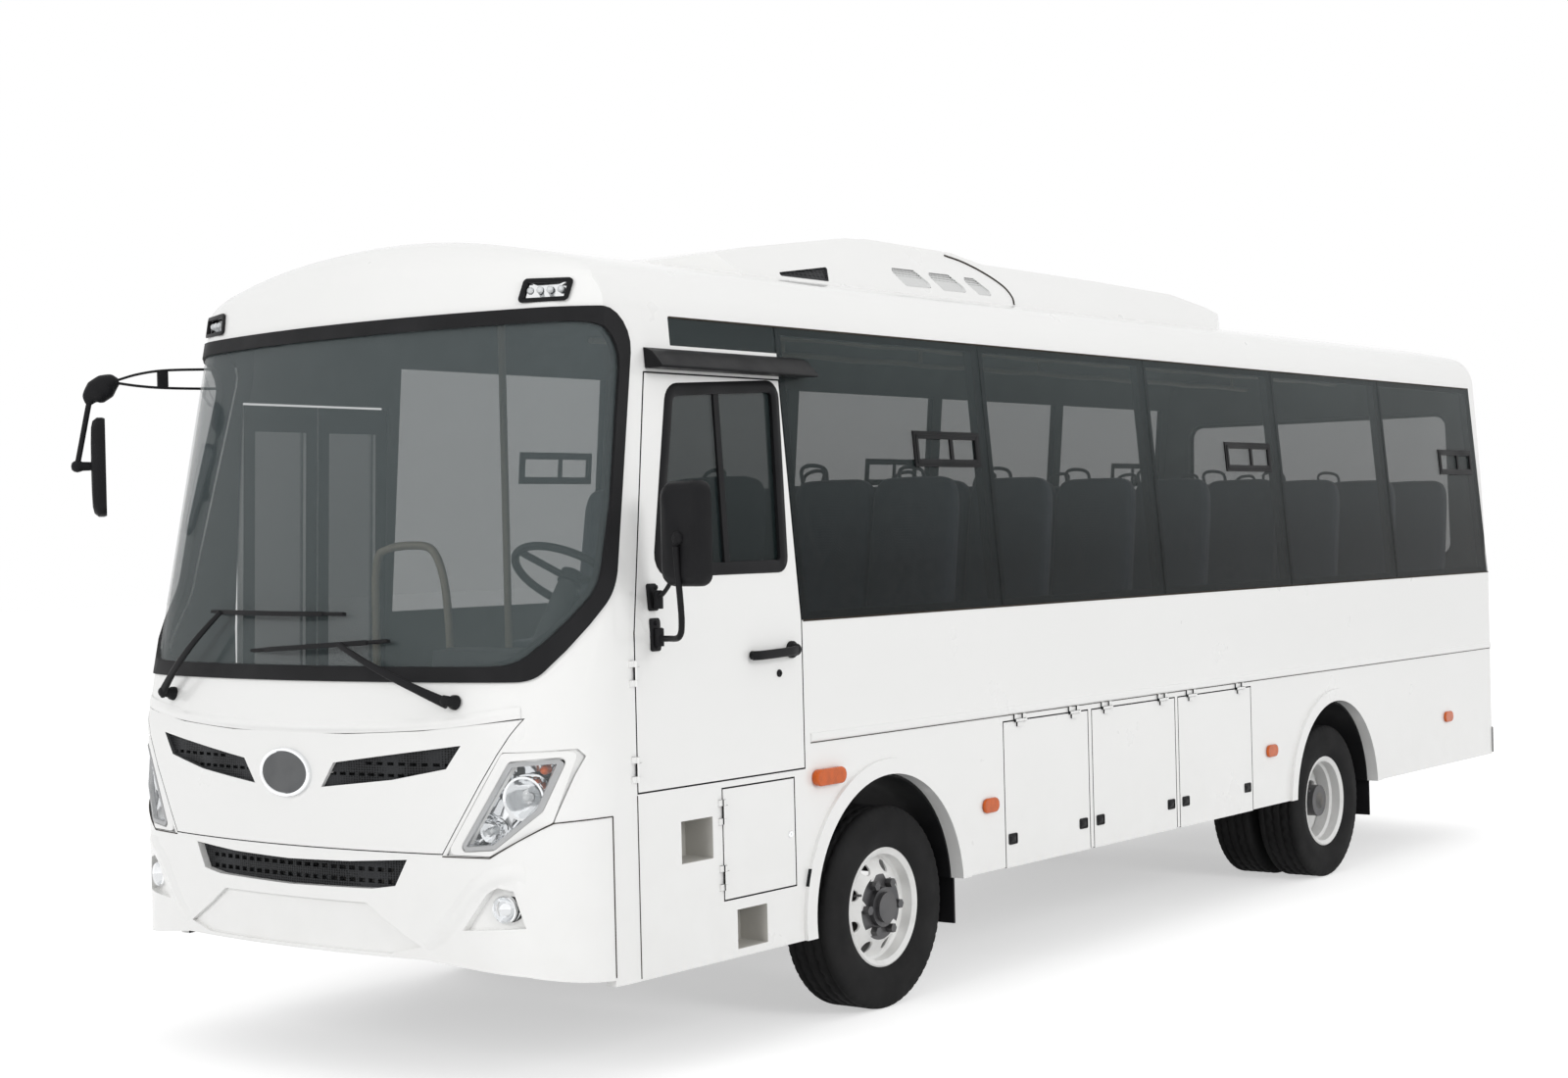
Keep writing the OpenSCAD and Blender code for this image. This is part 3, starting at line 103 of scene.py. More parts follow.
print(f"half width {HALF:.3f} m, waist {WAIST:.3f} m, windows up to {WINDOW_TOP:.3f} m")

# %% [markdown]
# ## Small tools for finishes
# A material is a Principled shader. What is the same all over is typed into the shader's own sockets.
# What changes over the surface comes from noise on Object coordinates, which stay with a piece when it
# moves. These helpers make nodes, join them and give such noise.

# %% Finish helpers
def shader_of(material):
    """The material's Principled shader."""
    return material.node_tree.nodes["Principled BSDF"]


def add_node(material, kind, **values):
    """A new node, with values set on its input sockets by name."""
    node = material.node_tree.nodes.new("ShaderNode" + kind)
    for socket, value in values.items():
        node.inputs[socket.replace("_", " ")].default_value = value
    return node


def link(material, source, target):
    """Joins an output socket to an input socket."""
    material.node_tree.links.new(source, target)


def finish(name, colour, roughness, **sockets):
    """A Principled material with constant sockets: colour, roughness and any others by name."""
    material = bpy.data.materials.new(name)
    material.use_nodes = True
    inputs = shader_of(material).inputs
    inputs["Base Color"].default_value = (*colour, 1)
    inputs["Roughness"].default_value = roughness
    for socket, value in sockets.items():
        inputs[socket.replace("_", " ")].default_value = value
    return material


def object_place(material, stretch=(1, 1, 1)):
    """Object coordinates, scaled along each axis."""
    mapping = add_node(material, "Mapping", Scale=stretch)
    link(material, add_node(material, "TexCoord").outputs["Object"], mapping.inputs["Vector"])
    return mapping.outputs["Vector"]


def clouds(material, scale, detail=4.0):
    """Noise from 0 to 1 with so many lumps to the metre."""
    noise = add_node(material, "TexNoise", Scale=scale, Detail=detail)
    link(material, object_place(material), noise.inputs["Vector"])
    return noise.outputs["Fac"]


def remapped(material, value, low, high, out_low=0.0, out_high=1.0):
    """The part of a value between low and high, spread over out_low to out_high and held there."""
    node = add_node(material, "MapRange", From_Min=low, From_Max=high, To_Min=out_low, To_Max=out_high)
    link(material, value, node.inputs["Value"])
    return node.outputs["Result"]


print("node helpers ready")

# %% [markdown]
# ### Clouds, grain and dust
# Nothing on a coach is one even colour. A second colour lies over the first where noise is high, the
# roughness wanders, a fine grain dents the surface as bump, and road dust fades with height. Each of
# these goes on top of what is there already, so a finish is built up in coats.

# %% Coats of a finish
def tinted(material, factor, colour):
    """Lays a second colour over the base colour where the factor is high."""
    base = shader_of(material).inputs["Base Color"]
    mix = add_node(material, "Mix")
    mix.data_type = "RGBA"
    mix.inputs[6].default_value = base.default_value
    if base.is_linked:
        link(material, base.links[0].from_socket, mix.inputs[6])
    mix.inputs[7].default_value = (*colour, 1)
    link(material, factor, mix.inputs[0])
    link(material, mix.outputs[2], base)


def bumped(material, height, strength, distance):
    """Adds a height to the surface's normal, on top of any bump that is there."""
    normal = shader_of(material).inputs["Normal"]
    node = add_node(material, "Bump", Strength=strength, Distance=distance)
    if normal.is_linked:
        link(material, normal.links[0].from_socket, node.inputs["Normal"])
    link(material, height, node.inputs["Height"])
    link(material, node.outputs["Normal"], normal)


def wandering_roughness(material, scale, low, high):
    """Roughness that drifts from low to high as noise does."""
    drift = remapped(material, clouds(material, scale), 0.3, 0.7, low, high)
    link(material, drift, shader_of(material).inputs["Roughness"])


DUST_FULL = 0.25


def dusted(material, colour, top, amount):
    """Road dust: full up to a low height, gone at the height top, and broken up by noise."""
    split = add_node(material, "SeparateXYZ")
    link(material, object_place(material), split.inputs["Vector"])
    fade = remapped(material, split.outputs["Z"], DUST_FULL, top, amount, 0.0)
    times = add_node(material, "Math")
    times.operation = "MULTIPLY"
    link(material, fade, times.inputs[0])
    link(material, remapped(material, clouds(material, 9, 6), 0.3, 0.75), times.inputs[1])
    tinted(material, times.outputs["Value"], colour)


print("finish helpers ready")

# %% [markdown]
# ## Paint, rubber, steel and plastic
# Coach paint is a white base under clear lacquer with a faint orange-peel ripple, and it greys a little
# towards the road. Rubber and moulded plastic are nearly black, and their grain keeps them from
# looking like holes. Wheels are silver paint, and the frame below is satin black with dust on it.

# %% Opaque finishes
DUST = (0.32, 0.29, 0.25)


def coach_paint():
    """White under clear lacquer: pale clouds, a little road grey low down and a faint ripple."""
    paint = finish("white_coach_paint", (0.86, 0.86, 0.85), 0.32, Coat_Weight=0.6, Coat_Roughness=0.06)
    tinted(paint, remapped(paint, clouds(paint, 0.9, 2), 0.45, 0.8, 0, 0.35), (0.82, 0.82, 0.805))
    dusted(paint, (0.62, 0.60, 0.56), 1.0, 0.14)
    wandering_roughness(paint, 3.0, 0.27, 0.38)
    bumped(paint, clouds(paint, 260, 2), 0.04, 0.0006)
    return paint


def grained_black(name, colour, roughness, scale, depth):
    """Black moulded stuff: a leathery grain as bump, and patches that shine a little more."""
    black = finish(name, colour, roughness, Specular_IOR_Level=0.10)
    tinted(black, remapped(black, clouds(black, 5), 0.4, 0.75, 0, 0.5), tuple(c * 1.7 for c in colour))
    wandering_roughness(black, 7, roughness - 0.08, roughness + 0.08)
    bumped(black, clouds(black, scale, 3), 0.25, depth)
    return black


def tyre_rubber():
    """Grained black with a little dust towards the road."""
    rubber = grained_black("tyre_rubber", (0.0165, 0.0165, 0.017), 0.82, 420, 0.0006)
    dusted(rubber, (0.060, 0.058, 0.055), 1.1, 0.15)
    return rubber


def painted_steel(name, colour, roughness, metallic, dust):
    """Sprayed steel: a little metallic, mottled, with grit as bump and dust near the road."""
    steel = finish(name, colour, roughness, Metallic=metallic)
    tinted(steel, remapped(steel, clouds(steel, 14, 6), 0.5, 0.8, 0, 0.4), tuple(c * 0.72 for c in colour))
    dusted(steel, DUST, 1.3, dust)
    wandering_roughness(steel, 11, roughness - 0.07, roughness + 0.1)
    bumped(steel, clouds(steel, 180, 4), 0.12, 0.0008)
    return steel


WHITE_PAINT = coach_paint()
SEAL_RUBBER = grained_black("seal_rubber", (0.016, 0.016, 0.017), 0.55, 300, 0.0005)
BLACK_PLASTIC = grained_black("black_moulded_plastic", (0.012, 0.012, 0.013), 0.42, 650, 0.0004)
ADHESIVE_BLACK = grained_black("black_glass_border", (0.012, 0.014, 0.015), 0.5, 200, 0.0003)
GREY_TRIM = grained_black("grey_cabin_trim", (0.085, 0.088, 0.09), 0.6, 500, 0.0005)
LINING = grained_black("cabin_lining", (0.16, 0.162, 0.158), 0.75, 350, 0.0005)
FLOOR_VINYL = grained_black("floor_vinyl", (0.09, 0.095, 0.10), 0.6, 240, 0.0006)
TYRE_RUBBER = tyre_rubber()
WHEEL_SILVER = painted_steel("silver_wheel_paint", (0.84, 0.84, 0.83), 0.40, 0.05, 0.12)
STUD_STEEL = painted_steel("dark_stud_steel", (0.10, 0.10, 0.105), 0.42, 0.7, 0.1)
CHASSIS_BLACK = painted_steel("satin_chassis_black", (0.022, 0.023, 0.025), 0.5, 0.0, 0.5)
CAST_GREY = painted_steel("cast_grey_metal", (0.12, 0.125, 0.13), 0.6, 0.5, 0.45)
TRAY_STEEL = painted_steel("grey_tray_sheet", (0.14, 0.145, 0.15), 0.5, 0.3, 0.4)
EXHAUST_STEEL = painted_steel("dull_exhaust_steel", (0.23, 0.21, 0.19), 0.5, 0.8, 0.4)
CHROME = finish("bright_reflector", (0.86, 0.87, 0.88), 0.08, Metallic=1.0)
bumped(CHROME, clouds(CHROME, 60, 2), 0.06, 0.001)
BEIGE_RAIL = painted_steel("beige_hand_rail", (0.42, 0.37, 0.28), 0.4, 0.0, 0.0)
print(f"{len(bpy.data.materials)} materials so far")

# %% [markdown]
# ### Mesh, punched sheet and cloth
# Three finishes carry a pattern: the grilles' moulded mesh, the punched sheet on the roof unit and the
# seats' woven cover. Modelling all their holes and threads would cost millions of faces. Cells and waves
# on Object coordinates colour the surface and dent it as bump instead. The holes in the mesh and the
# sheet are painted dark, as the shade in them.

# %% Finishes for trim and cloth
def mesh_black():
    """Moulded mesh: cells on an even grid, the middle of each painted dark as the shade in the holes, and
    the webs between lighter.
    """
    mesh = grained_black("black_grille_mesh", (0.030, 0.031, 0.033), 0.45, 500, 0.0004)
    cells = add_node(mesh, "TexVoronoi", Scale=85.0, Randomness=0.12)
    link(mesh, object_place(mesh, (0.4, 1.0, 1.35)), cells.inputs["Vector"])
    # Painted shade: the middle of each cell is darkened as the shade seen in the mesh's holes.
    hole_shade = remapped(mesh, cells.outputs["Distance"], 0.30, 0.42, 1.0, 0.0)
    tinted(mesh, hole_shade, (0.004, 0.004, 0.004))
    bumped(mesh, cells.outputs["Distance"], 0.8, 0.004)
    return mesh


def perforated_white():
    """Punched white sheet: dots on an even grid, painted dark as the shade seen through its holes."""
    sheet = finish("perforated_white_sheet", (0.66, 0.665, 0.66), 0.45)
    dots = add_node(sheet, "TexVoronoi", Scale=95.0, Randomness=0.0)
    link(sheet, object_place(sheet, (1.0, 0.2, 1.0)), dots.inputs["Vector"])
    # Painted shade: dark dots stand for the shade seen through the punched holes.
    tinted(sheet, remapped(sheet, dots.outputs["Distance"], 0.26, 0.34, 1.0, 0.0), (0.10, 0.10, 0.10))
    bumped(sheet, dots.outputs["Distance"], 0.3, 0.002)
    return sheet


def seat_cloth():
    """Woven seat cover: two crossing sets of threads as bump, and a soft mottled blue-grey."""
    cloth = finish("woven_seat_cover", (0.045, 0.055, 0.075), 0.9, Sheen_Weight=0.35, Sheen_Roughness=0.5)
    tinted(cloth, remapped(cloth, clouds(cloth, 22, 5), 0.4, 0.7, 0, 0.6), (0.075, 0.085, 0.105))
    for stretch in ((1, 0, 0), (0, 1, 1)):
        threads = add_node(cloth, "TexWave", Scale=150.0, Distortion=0.6)
        link(cloth, object_place(cloth, stretch), threads.inputs["Vector"])
        bumped(cloth, threads.outputs["Fac"], 0.25, 0.0012)
    return cloth


LAMP_BEZEL = painted_steel("silver_lamp_bezel", (0.42, 0.425, 0.43), 0.35, 0.4, 0.0)
SEALANT = grained_black("brown_black_sealant", (0.030, 0.024, 0.018), 0.6, 220, 0.0004)
POCKET_GREY = painted_steel("pale_step_pocket", (0.50, 0.49, 0.46), 0.55, 0.0, 0.25)
MESH_BLACK = mesh_black()
PERFORATED = perforated_white()
SEAT_CLOTH = seat_cloth()
print(f"{len(bpy.data.materials)} materials with trim and cloth")

# %% [markdown]
# ## Glass and lenses
# The tinted panes let the far windows show through as pale patches, so they have to be see-through and
# not just dark paint. A low alpha does that without costing long renders: each of a pane's two faces
# lets most of the light by and adds its own dark tint and gloss. Lamp lenses are the same idea with a
# colour and a ribbed bump.

# %% See-through finishes
SKY_REFLECTION_FROM, SKY_REFLECTION_TO = 1.75, 2.60


def pane(name, low_tint, sky_reflection_tint, alpha, gloss):
    """See-through glass: its tint goes from one colour at the waist to a paler one near the roof, a
    painted reflection of the bright sky."""
    glass = finish(name, low_tint, 0.04, Alpha=alpha, Specular_IOR_Level=gloss)
    split = add_node(glass, "SeparateXYZ")
    link(glass, object_place(glass), split.inputs["Vector"])
    # Painted reflection: the tint grows paler towards the roof, as the bright sky mirrored in the pane.
    tinted(glass, remapped(glass, split.outputs["Z"], SKY_REFLECTION_FROM, SKY_REFLECTION_TO), sky_reflection_tint)
    haze = remapped(glass, clouds(glass, 0.7, 2), 0.4, 0.75, 0, 0.3)
    tinted(glass, haze, tuple(c * 1.2 for c in low_tint))
    bumped(glass, clouds(glass, 1.6, 1), 0.02, 0.004)
    return glass


def ribbed_lens(name, colour, alpha, pitch):
    """A moulded lens: upright ribs as a sine along x and y, with a cloudy tint."""
    lens = finish(name, colour, 0.12, Alpha=alpha, Coat_Weight=0.3, Coat_Roughness=0.04,
                  Specular_IOR_Level=0.2)
    tinted(lens, remapped(lens, clouds(lens, 30), 0.4, 0.7, 0, 0.5), tuple(c * 0.6 for c in colour))
    wave = add_node(lens, "TexWave", Scale=pitch, Distortion=0.0)
    wave.bands_direction = "DIAGONAL"
    link(lens, object_place(lens), wave.inputs["Vector"])
    bumped(lens, wave.outputs["Fac"], 0.35, 0.002)
    return lens


# For the windows, the second colour is the painted reflection of the sky near the roof.
SIDE_GLASS = pane("tinted_side_glass", (0.006, 0.010, 0.010), (0.060, 0.078, 0.080), 0.40, 0.2)
DOOR_GLASS = pane("tinted_door_glass", (0.010, 0.016, 0.016), (0.036, 0.048, 0.049), 0.66, 0.15)
SCREEN_GLASS = pane("tinted_windscreen", (0.105, 0.130, 0.133), (0.125, 0.152, 0.158), 0.33, 0.4)
CLEAR_LENS = pane("clear_lamp_lens", (0.75, 0.78, 0.80), (0.75, 0.78, 0.80), 0.10, 0.6)
AMBER_LENS = ribbed_lens("amber_lens", (0.62, 0.105, 0.004), 1.0, 40)
RED_LENS = ribbed_lens("red_lens", (0.42, 0.012, 0.012), 1.0, 40)
WHITE_LENS = ribbed_lens("frosted_lens", (0.72, 0.74, 0.75), 1.0, 40)
MIRROR_GLASS = finish("mirror_glass", (0.55, 0.58, 0.60), 0.03, Metallic=1.0)
bumped(MIRROR_GLASS, clouds(MIRROR_GLASS, 2, 1), 0.02, 0.002)
print(f"{len(bpy.data.materials)} materials in all")

# %% [markdown]
# ## Surfaces from arrays
# Every new piece is a grid of points: a function of two parameters, or a profile carried along a path.
# The first helpers turn such grids into faces, close their ends and carry profiles along paths. Nothing
# walks over vertices one at a time.

# %% Grids and sweeps
def grid_faces(rows, columns, close_rows=False, close_columns=False):
    """Four-sided faces between neighbours of a grid; a closed direction joins its last to its first."""
    r = np.arange(rows if close_rows else rows - 1)
    c = np.arange(columns if close_columns else columns - 1)
    r, c = np.meshgrid(r, c, indexing="ij")
    r2, c2 = (r + 1) % rows, (c + 1) % columns
    faces = np.stack([r * columns + c, r2 * columns + c, r2 * columns + c2, r * columns + c2], -1)
    return faces.reshape(-1, 4)


def shell(points, close_rows=False, close_columns=False, caps=False):
    """A grid of points as vertices and groups of faces; caps shut the two end rings of a tube."""
    rows, columns = points.shape[:2]
    groups = [grid_faces(rows, columns, close_rows, close_columns)]
    if caps:
        ring = np.arange(columns)[None]
        groups += [ring[:, ::-1], ring + (rows - 1) * columns]
    return points.reshape(-1, 3), groups


def unit(v):
    """Vectors divided by their lengths."""
    return v / np.linalg.norm(v, axis=-1, keepdims=True)


def swept(path, profile, up=(0, 0, 1), closed=False):
    """A closed profile carried along a path and square to it: its first coordinate points sideways and
    its second towards up."""
    path, profile = np.asarray(path, float), np.asarray(profile, float)
    if closed:
        along = unit(np.roll(path, -1, 0) - np.roll(path, 1, 0))
    else:
        along = unit(np.gradient(path, axis=0))
    side = unit(np.cross(along, np.asarray(up, float)))
    top = np.cross(side, along)
    points = path[:, None] + profile[None, :, :1] * side[:, None] + profile[None, :, 1:] * top[:, None]
    return shell(points, close_rows=closed, close_columns=True, caps=not closed)


print("grid helpers ready")

# %% [markdown]
# ### Outlines and paths
# Frames, lamps and pads start from flat outlines with rounded corners, and tubes from a smooth curve
# through a few points. Both are formulas, so that a corner's radius or a bend is a number to change.

# %% Outlines and smooth paths
def circle(radius, count=14):
    """Points of a circle, given by its angle."""
    a = np.linspace(0, 2 * np.pi, count, endpoint=False)
    return radius * np.stack([np.cos(a), np.sin(a)], -1)


def rounded(corners, radius, steps=5):
    """A polygon with its corners turned into arcs: each arc's centre lies on the corner's bisector."""
    p = np.asarray(corners, float)
    u, v = unit(np.roll(p, 1, 0) - p), unit(np.roll(p, -1, 0) - p)
    half = np.arccos(np.clip((u * v).sum(1), -1, 1)) / 2
    r = np.broadcast_to(np.asarray(radius, float), half.shape)
    centre = p + unit(u + v) * (r / np.sin(half))[:, None]
    start = p + u * (r / np.tan(half))[:, None] - centre
    turn = (np.pi - 2 * half) * np.sign(-(u[:, 0] * v[:, 1] - u[:, 1] * v[:, 0]))
    a = turn[:, None] * np.linspace(0, 1, steps + 1)[None]
    x = start[:, :1] * np.cos(a) - start[:, 1:] * np.sin(a)
    y = start[:, :1] * np.sin(a) + start[:, 1:] * np.cos(a)
    return (centre[:, None] + np.stack([x, y], -1)).reshape(-1, 2)


def rectangle(width, height, radius, steps=4):
    """A rounded rectangle about the origin."""
    w, h = width / 2, height / 2
    return rounded([[-w, -h], [w, -h], [w, h], [-w, h]], radius, steps)


def smooth_path(points, count):
    """A curve through points: cubic between neighbours, with each slope taken from the points beside it."""
    p = np.asarray(points, float)
    slope = np.gradient(p, axis=0)
    t = np.linspace(0, len(p) - 1, count)
    i = np.minimum(t.astype(int), len(p) - 2)
    f = (t - i)[:, None]
    h = [2 * f**3 - 3 * f**2 + 1, f**3 - 2 * f**2 + f, -2 * f**3 + 3 * f**2, f**3 - f**2]
    return h[0] * p[i] + h[1] * slope[i] + h[2] * p[i + 1] + h[3] * slope[i + 1]


print("outline helpers ready")

# %% [markdown]
# ### Places on the walls and the nose
# Trim is drawn flat, as an outline in two coordinates. A place function then lays it on a wall or on the
# bowed nose at any height over the surface. With it, plates and frames follow every curve of the coach.

# %% Laying outlines on the coach
def on_side(side):
    """Puts (x, z, height) on a side wall: height stands out from the leaning face."""
    return lambda x, z, h: np.stack([x, side * (wall_y(z) + h), z], -1)


def on_nose(y, z, h):
    """Puts (y, z, height) on the nose: x follows the plan arc and leans back above the crease, and height
    stands square to the arc."""
    back = np.maximum(z - CREASE, 0) * RAKE
    slope = (nose_x(y + 0.001) - nose_x(y - 0.001)) / 0.002
    norm = np.sqrt(1 + slope**2)
    return np.stack([nose_x(y) - back + h / norm, y - h * slope / norm, z], -1)


def slab(outline, low, high, place):
    """A flat plate: an outline laid on a surface by place, from one height to another."""
    o = np.asarray(outline, float)
    points = np.stack([place(o[:, 0], o[:, 1], np.full(len(o), h)) for h in (low, high)])
    return shell(points, close_columns=True, caps=True)


def band(outline, profile, place):
    """A frame round an outline: a closed profile whose first coordinate is measured outwards from the
    outline, square to its edge, and whose second stands out from the surface."""
    o, profile = np.asarray(outline, float), np.asarray(profile, float)
    along = unit(np.roll(o, -1, 0) - np.roll(o, 1, 0))
    out = np.stack([along[:, 1], -along[:, 0]], -1)
    flat = o[:, None] + profile[None, :, :1] * out[:, None]
    points = place(flat[..., 0], flat[..., 1], np.broadcast_to(profile[None, :, 1], flat.shape[:2]))
    return shell(points, close_rows=True, close_columns=True)


print("places on the walls and the nose ready")

# %% [markdown]
# ### From arrays to a piece on its body
# Shells that belong together become one mesh. Blender welds their shared points and turns the faces
# outwards. The mesh then gets its shading, its material, perhaps rounded edges, and the body it rides on.

# %% Pieces
def piece(name, shells, body, material, bevel=0.0, smooth=35):
    """Joins shells into one mesh with its faces outwards, and sets it on a body."""
    shells = [shells] if isinstance(shells, tuple) else shells
    starts = np.cumsum([0] + [len(v) for v, _ in shells])
    vertices = np.concatenate([v for v, _ in shells])
    faces = []
    for (_, groups), start in zip(shells, starts):
        for group in groups:
            faces += (group + start).tolist()
    mesh = bpy.data.meshes.new(name)
    mesh.from_pydata(vertices.tolist(), [], faces)
    bm = bmesh.new()
    bm.from_mesh(mesh)
    bmesh.ops.remove_doubles(bm, verts=bm.verts, dist=1e-6)
    bmesh.ops.recalc_face_normals(bm, faces=bm.faces)
    bm.to_mesh(mesh)
    bm.free()
    return finished(name, mesh, body, material, bevel, smooth)


def finished(name, mesh, body, materials, bevel, smooth):
    """Shading, material, rounded edges and a body for a mesh."""
    mesh.shade_smooth()
    mesh.set_sharp_from_angle(angle=math.radians(smooth))
    for material in materials if isinstance(materials, list) else [materials]:
        mesh.materials.append(material)
    made = bpy.data.objects.new(name, mesh)
    bpy.context.scene.collection.objects.link(made)
    if bevel:
        edge = made.modifiers.new("rounded_edges", "BEVEL")
        edge.width, edge.segments, edge.limit_method = bevel, 2, "ANGLE"
        edge.angle_limit, edge.use_clamp_overlap = math.radians(35), True
    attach(made, body)
    print(f"{name}: {len(mesh.polygons)} faces on {body}")
    return made


print("piece helpers ready")

# %% [markdown]
# ## The coach's own solids
# The frame, the axles, the engine and what hangs below are seen little, and their imported shape is right
# as it is. They only need a finish.

# %% Finishes for solids that stay as they are
PLAIN = {
    "frame_steel": (CHASSIS_BLACK, ["chassis_frame", "front_axle", "rear_axle", "springs", "knuckle_left",
                                    "knuckle_right"]),
    "cast_metal": (CAST_GREY, ["engine", "driveline"]),
    "grey_trim": (TRAY_STEEL, ["luggage_bays", "fuel_tank"]),
    "exhaust_steel": (EXHAUST_STEEL, ["exhaust"]),
    "floor_vinyl": (FLOOR_VINYL, ["floor"]),
    "black_plastic": (BLACK_PLASTIC, ["wheel_housings", "vent_frames", "steering_wheel"]),
}
for slot, (material, nodes) in PLAIN.items():
    for node in nodes:
        NODES[node].data.materials.clear()
        NODES[node].data.materials.append(material)
    print(f"{slot}: {', '.join(nodes)}")

# %% [markdown]
# ### Welded copies
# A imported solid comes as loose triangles, and its bowed faces as strips, which would each shade on their
# own. Welding the corners and melting flat triangles together lets Blender shade the skin as one. The
# copy then stands for its solid.

# %% Welding a solid
WELD, FLAT = 2e-5, math.radians(0.4)


def dressed(node, materials, rule=None, bevel=0.0, smooth=28):
    """A welded copy of a solid that stands for it. The rule takes the faces' centres and normals and
    gives each face the number of its material."""
    mesh = bpy.data.meshes.new(node + "_finished")
    bm = bmesh.new()
    bm.from_mesh(NODES[node].data)
    bmesh.ops.remove_doubles(bm, verts=bm.verts, dist=WELD)
    bmesh.ops.dissolve_limit(bm, angle_limit=FLAT, verts=bm.verts, edges=bm.edges)
    bm.to_mesh(mesh)
    bm.free()
    for name in ("custom_normal", "sharp_face", "sharp_edge"):
        if name in mesh.attributes:
            mesh.attributes.remove(mesh.attributes[name])
    mesh.materials.clear()
    made = finished(node + "_finished", mesh, BODY_OF[node], materials, bevel, smooth)
    count = len(mesh.polygons)
    numbers = np.zeros(count, np.int32)
    if rule:
        centres, normals = np.empty(count * 3), np.empty(count * 3)
        mesh.polygons.foreach_get("center", centres)
        mesh.polygons.foreach_get("normal", normals)
        numbers = rule(centres.reshape(-1, 3), normals.reshape(-1, 3)).astype(np.int32)
    mesh.polygons.foreach_set("material_index", numbers)
    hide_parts(node)
    return made


print(f"corners closer than {WELD} m are welded")

# %% [markdown]
# ### Paint outside, lining inside
# One panel has several finishes: paint outside, cabin lining inside, black where glass is bonded and at
# the shut lines. Picking faces by hand would break with the next change of a size. A rule that looks at
# each face's place and direction keeps working.

# %% Rules for faces
FLAPS_X, FLAPS_TOP = (-0.95, 1.40), 1.08
DOORWAY_FRONT, DOORWAY_Z = 3.30, (0.57, 2.48)
STRIP_FOOT, POCKET_DEPTH, CABIN_MIDDLE = 2.56, 0.038, 1.5
INSIDE_BUMPER, INSIDE_NOSE = (3.2, 0, 0.7), (3.2, 0, 1.2)
INSIDE_CAP, INSIDE_TAIL = (3.2, 0, 1.6), (-3.4, 0, 1.6)


def wall_rule(c, n):
    """Inner faces are lining; what lies behind the panes, the panes' reveals and the edges round doors
    and flaps are black."""
    side = np.sign(c[:, 1])
    outward = n[:, 1] * side
    depth = wall_y(c[:, 2]) - np.abs(c[:, 1])
    in_band = (c[:, 2] > WAIST) & (c[:, 2] < WINDOW_TOP + 0.002) & (depth > 0.003)
    behind = in_band & (c[:, 0] < DOOR_REAR - 0.001)
    strip = in_band & (c[:, 2] > STRIP_FOOT) & (outward > 0.5)
    edge = np.abs(outward) < 0.5
    near_flaps = (c[:, 0] > FLAPS_X[0]) & (c[:, 0] < FLAPS_X[1]) & (c[:, 2] < FLAPS_TOP)
    near_doors = (c[:, 0] > DOOR_REAR - 0.01) & (c[:, 0] < DOORWAY_FRONT)
    near_doors = near_doors & (c[:, 2] > DOORWAY_Z[0]) & (c[:, 2] < DOORWAY_Z[1])
    shut_line = edge & (near_flaps | near_doors)
    return np.where(outward < -0.5, 2, np.where(behind | strip | shut_line, 1, 0))


def lid_rule(c, n):
    """A lid's own edges are black like the rubber strip on them, and its inner face is lining."""
    outward = n[:, 1] * np.sign(c[:, 1])
    return np.where(np.abs(outward) < 0.5, 1, np.where(outward < 0, 2, 0))


def inward_rule(centre):
    """Faces that look towards a point inside are lining, and the rest paint."""
    return lambda c, n: np.where(((c - np.asarray(centre)) * n).sum(1) < -0.02, 1, 0)


def bumper_rule(c, n):
    """The bumper's back is lining. The walls of its pockets, which lie less deep than its skin is thick,
    stay paint."""
    deep = nose_x(c[:, 1]) - c[:, 0] > POCKET_DEPTH
    return np.where(deep, inward_rule(INSIDE_BUMPER)(c, n), 0)


def roof_rule(c, n):
    """The roof's under side is lining."""
    middle = np.stack([c[:, 0], np.zeros(len(c)), np.full(len(c), CABIN_MIDDLE)], -1)
    return np.where(((c - middle) * n).sum(1) < -0.1, 1, 0)


def facing_rule(axis):
    """Faces that look along an axis are lining, and the rest paint."""
    return lambda c, n: np.where(n[:, axis] > 0.5, 1, 0)


print("face rules ready")

# %% [markdown]
# ### Panels, doors and glass
# With the rules at hand, each outer solid takes a line: its materials and its rule. Moulded
# parts also get rounded edges from a bevel.

# %% Outer panels, glass and trim
for node in ("left_wall", "right_wall"):
    dressed(node, [WHITE_PAINT, ADHESIVE_BLACK, LINING], wall_rule)
dressed("roof", [WHITE_PAINT, LINING], roof_rule)
dressed("front_cap", [WHITE_PAINT, GREY_TRIM], inward_rule(INSIDE_CAP))
dressed("rear_cap", [WHITE_PAINT, LINING], inward_rule(INSIDE_TAIL))
dressed("nose_panel", [WHITE_PAINT, GREY_TRIM], inward_rule(INSIDE_NOSE))
dressed("front_bumper", [WHITE_PAINT, GREY_TRIM], bumper_rule, bevel=0.005)
dressed("driver_door", [WHITE_PAINT, SEAL_RUBBER, GREY_TRIM], lid_rule)
for node in ("entry_leaf_front", "entry_leaf_rear"):
    dressed(node, [WHITE_PAINT, GREY_TRIM], facing_rule(1))
for node in [n for n in NODES if n.startswith("flap_")] + ["battery_door"]:
    dressed(node, [WHITE_PAINT, SEAL_RUBBER, LINING], lid_rule)
dressed("boot_lid", [WHITE_PAINT, LINING], facing_rule(0))
dressed("windscreen", [SCREEN_GLASS])
dressed("windscreen_seal", [SEAL_RUBBER])
dressed("window_glass", [SIDE_GLASS])
for node in ("driver_door_glass", "entry_glass_front", "entry_glass_rear"):
    dressed(node, [DOOR_GLASS])
dressed("door_visor", [BLACK_PLASTIC], bevel=0.008)
dressed("grilles", [MESH_BLACK])
dressed("dashboard", [GREY_TRIM])
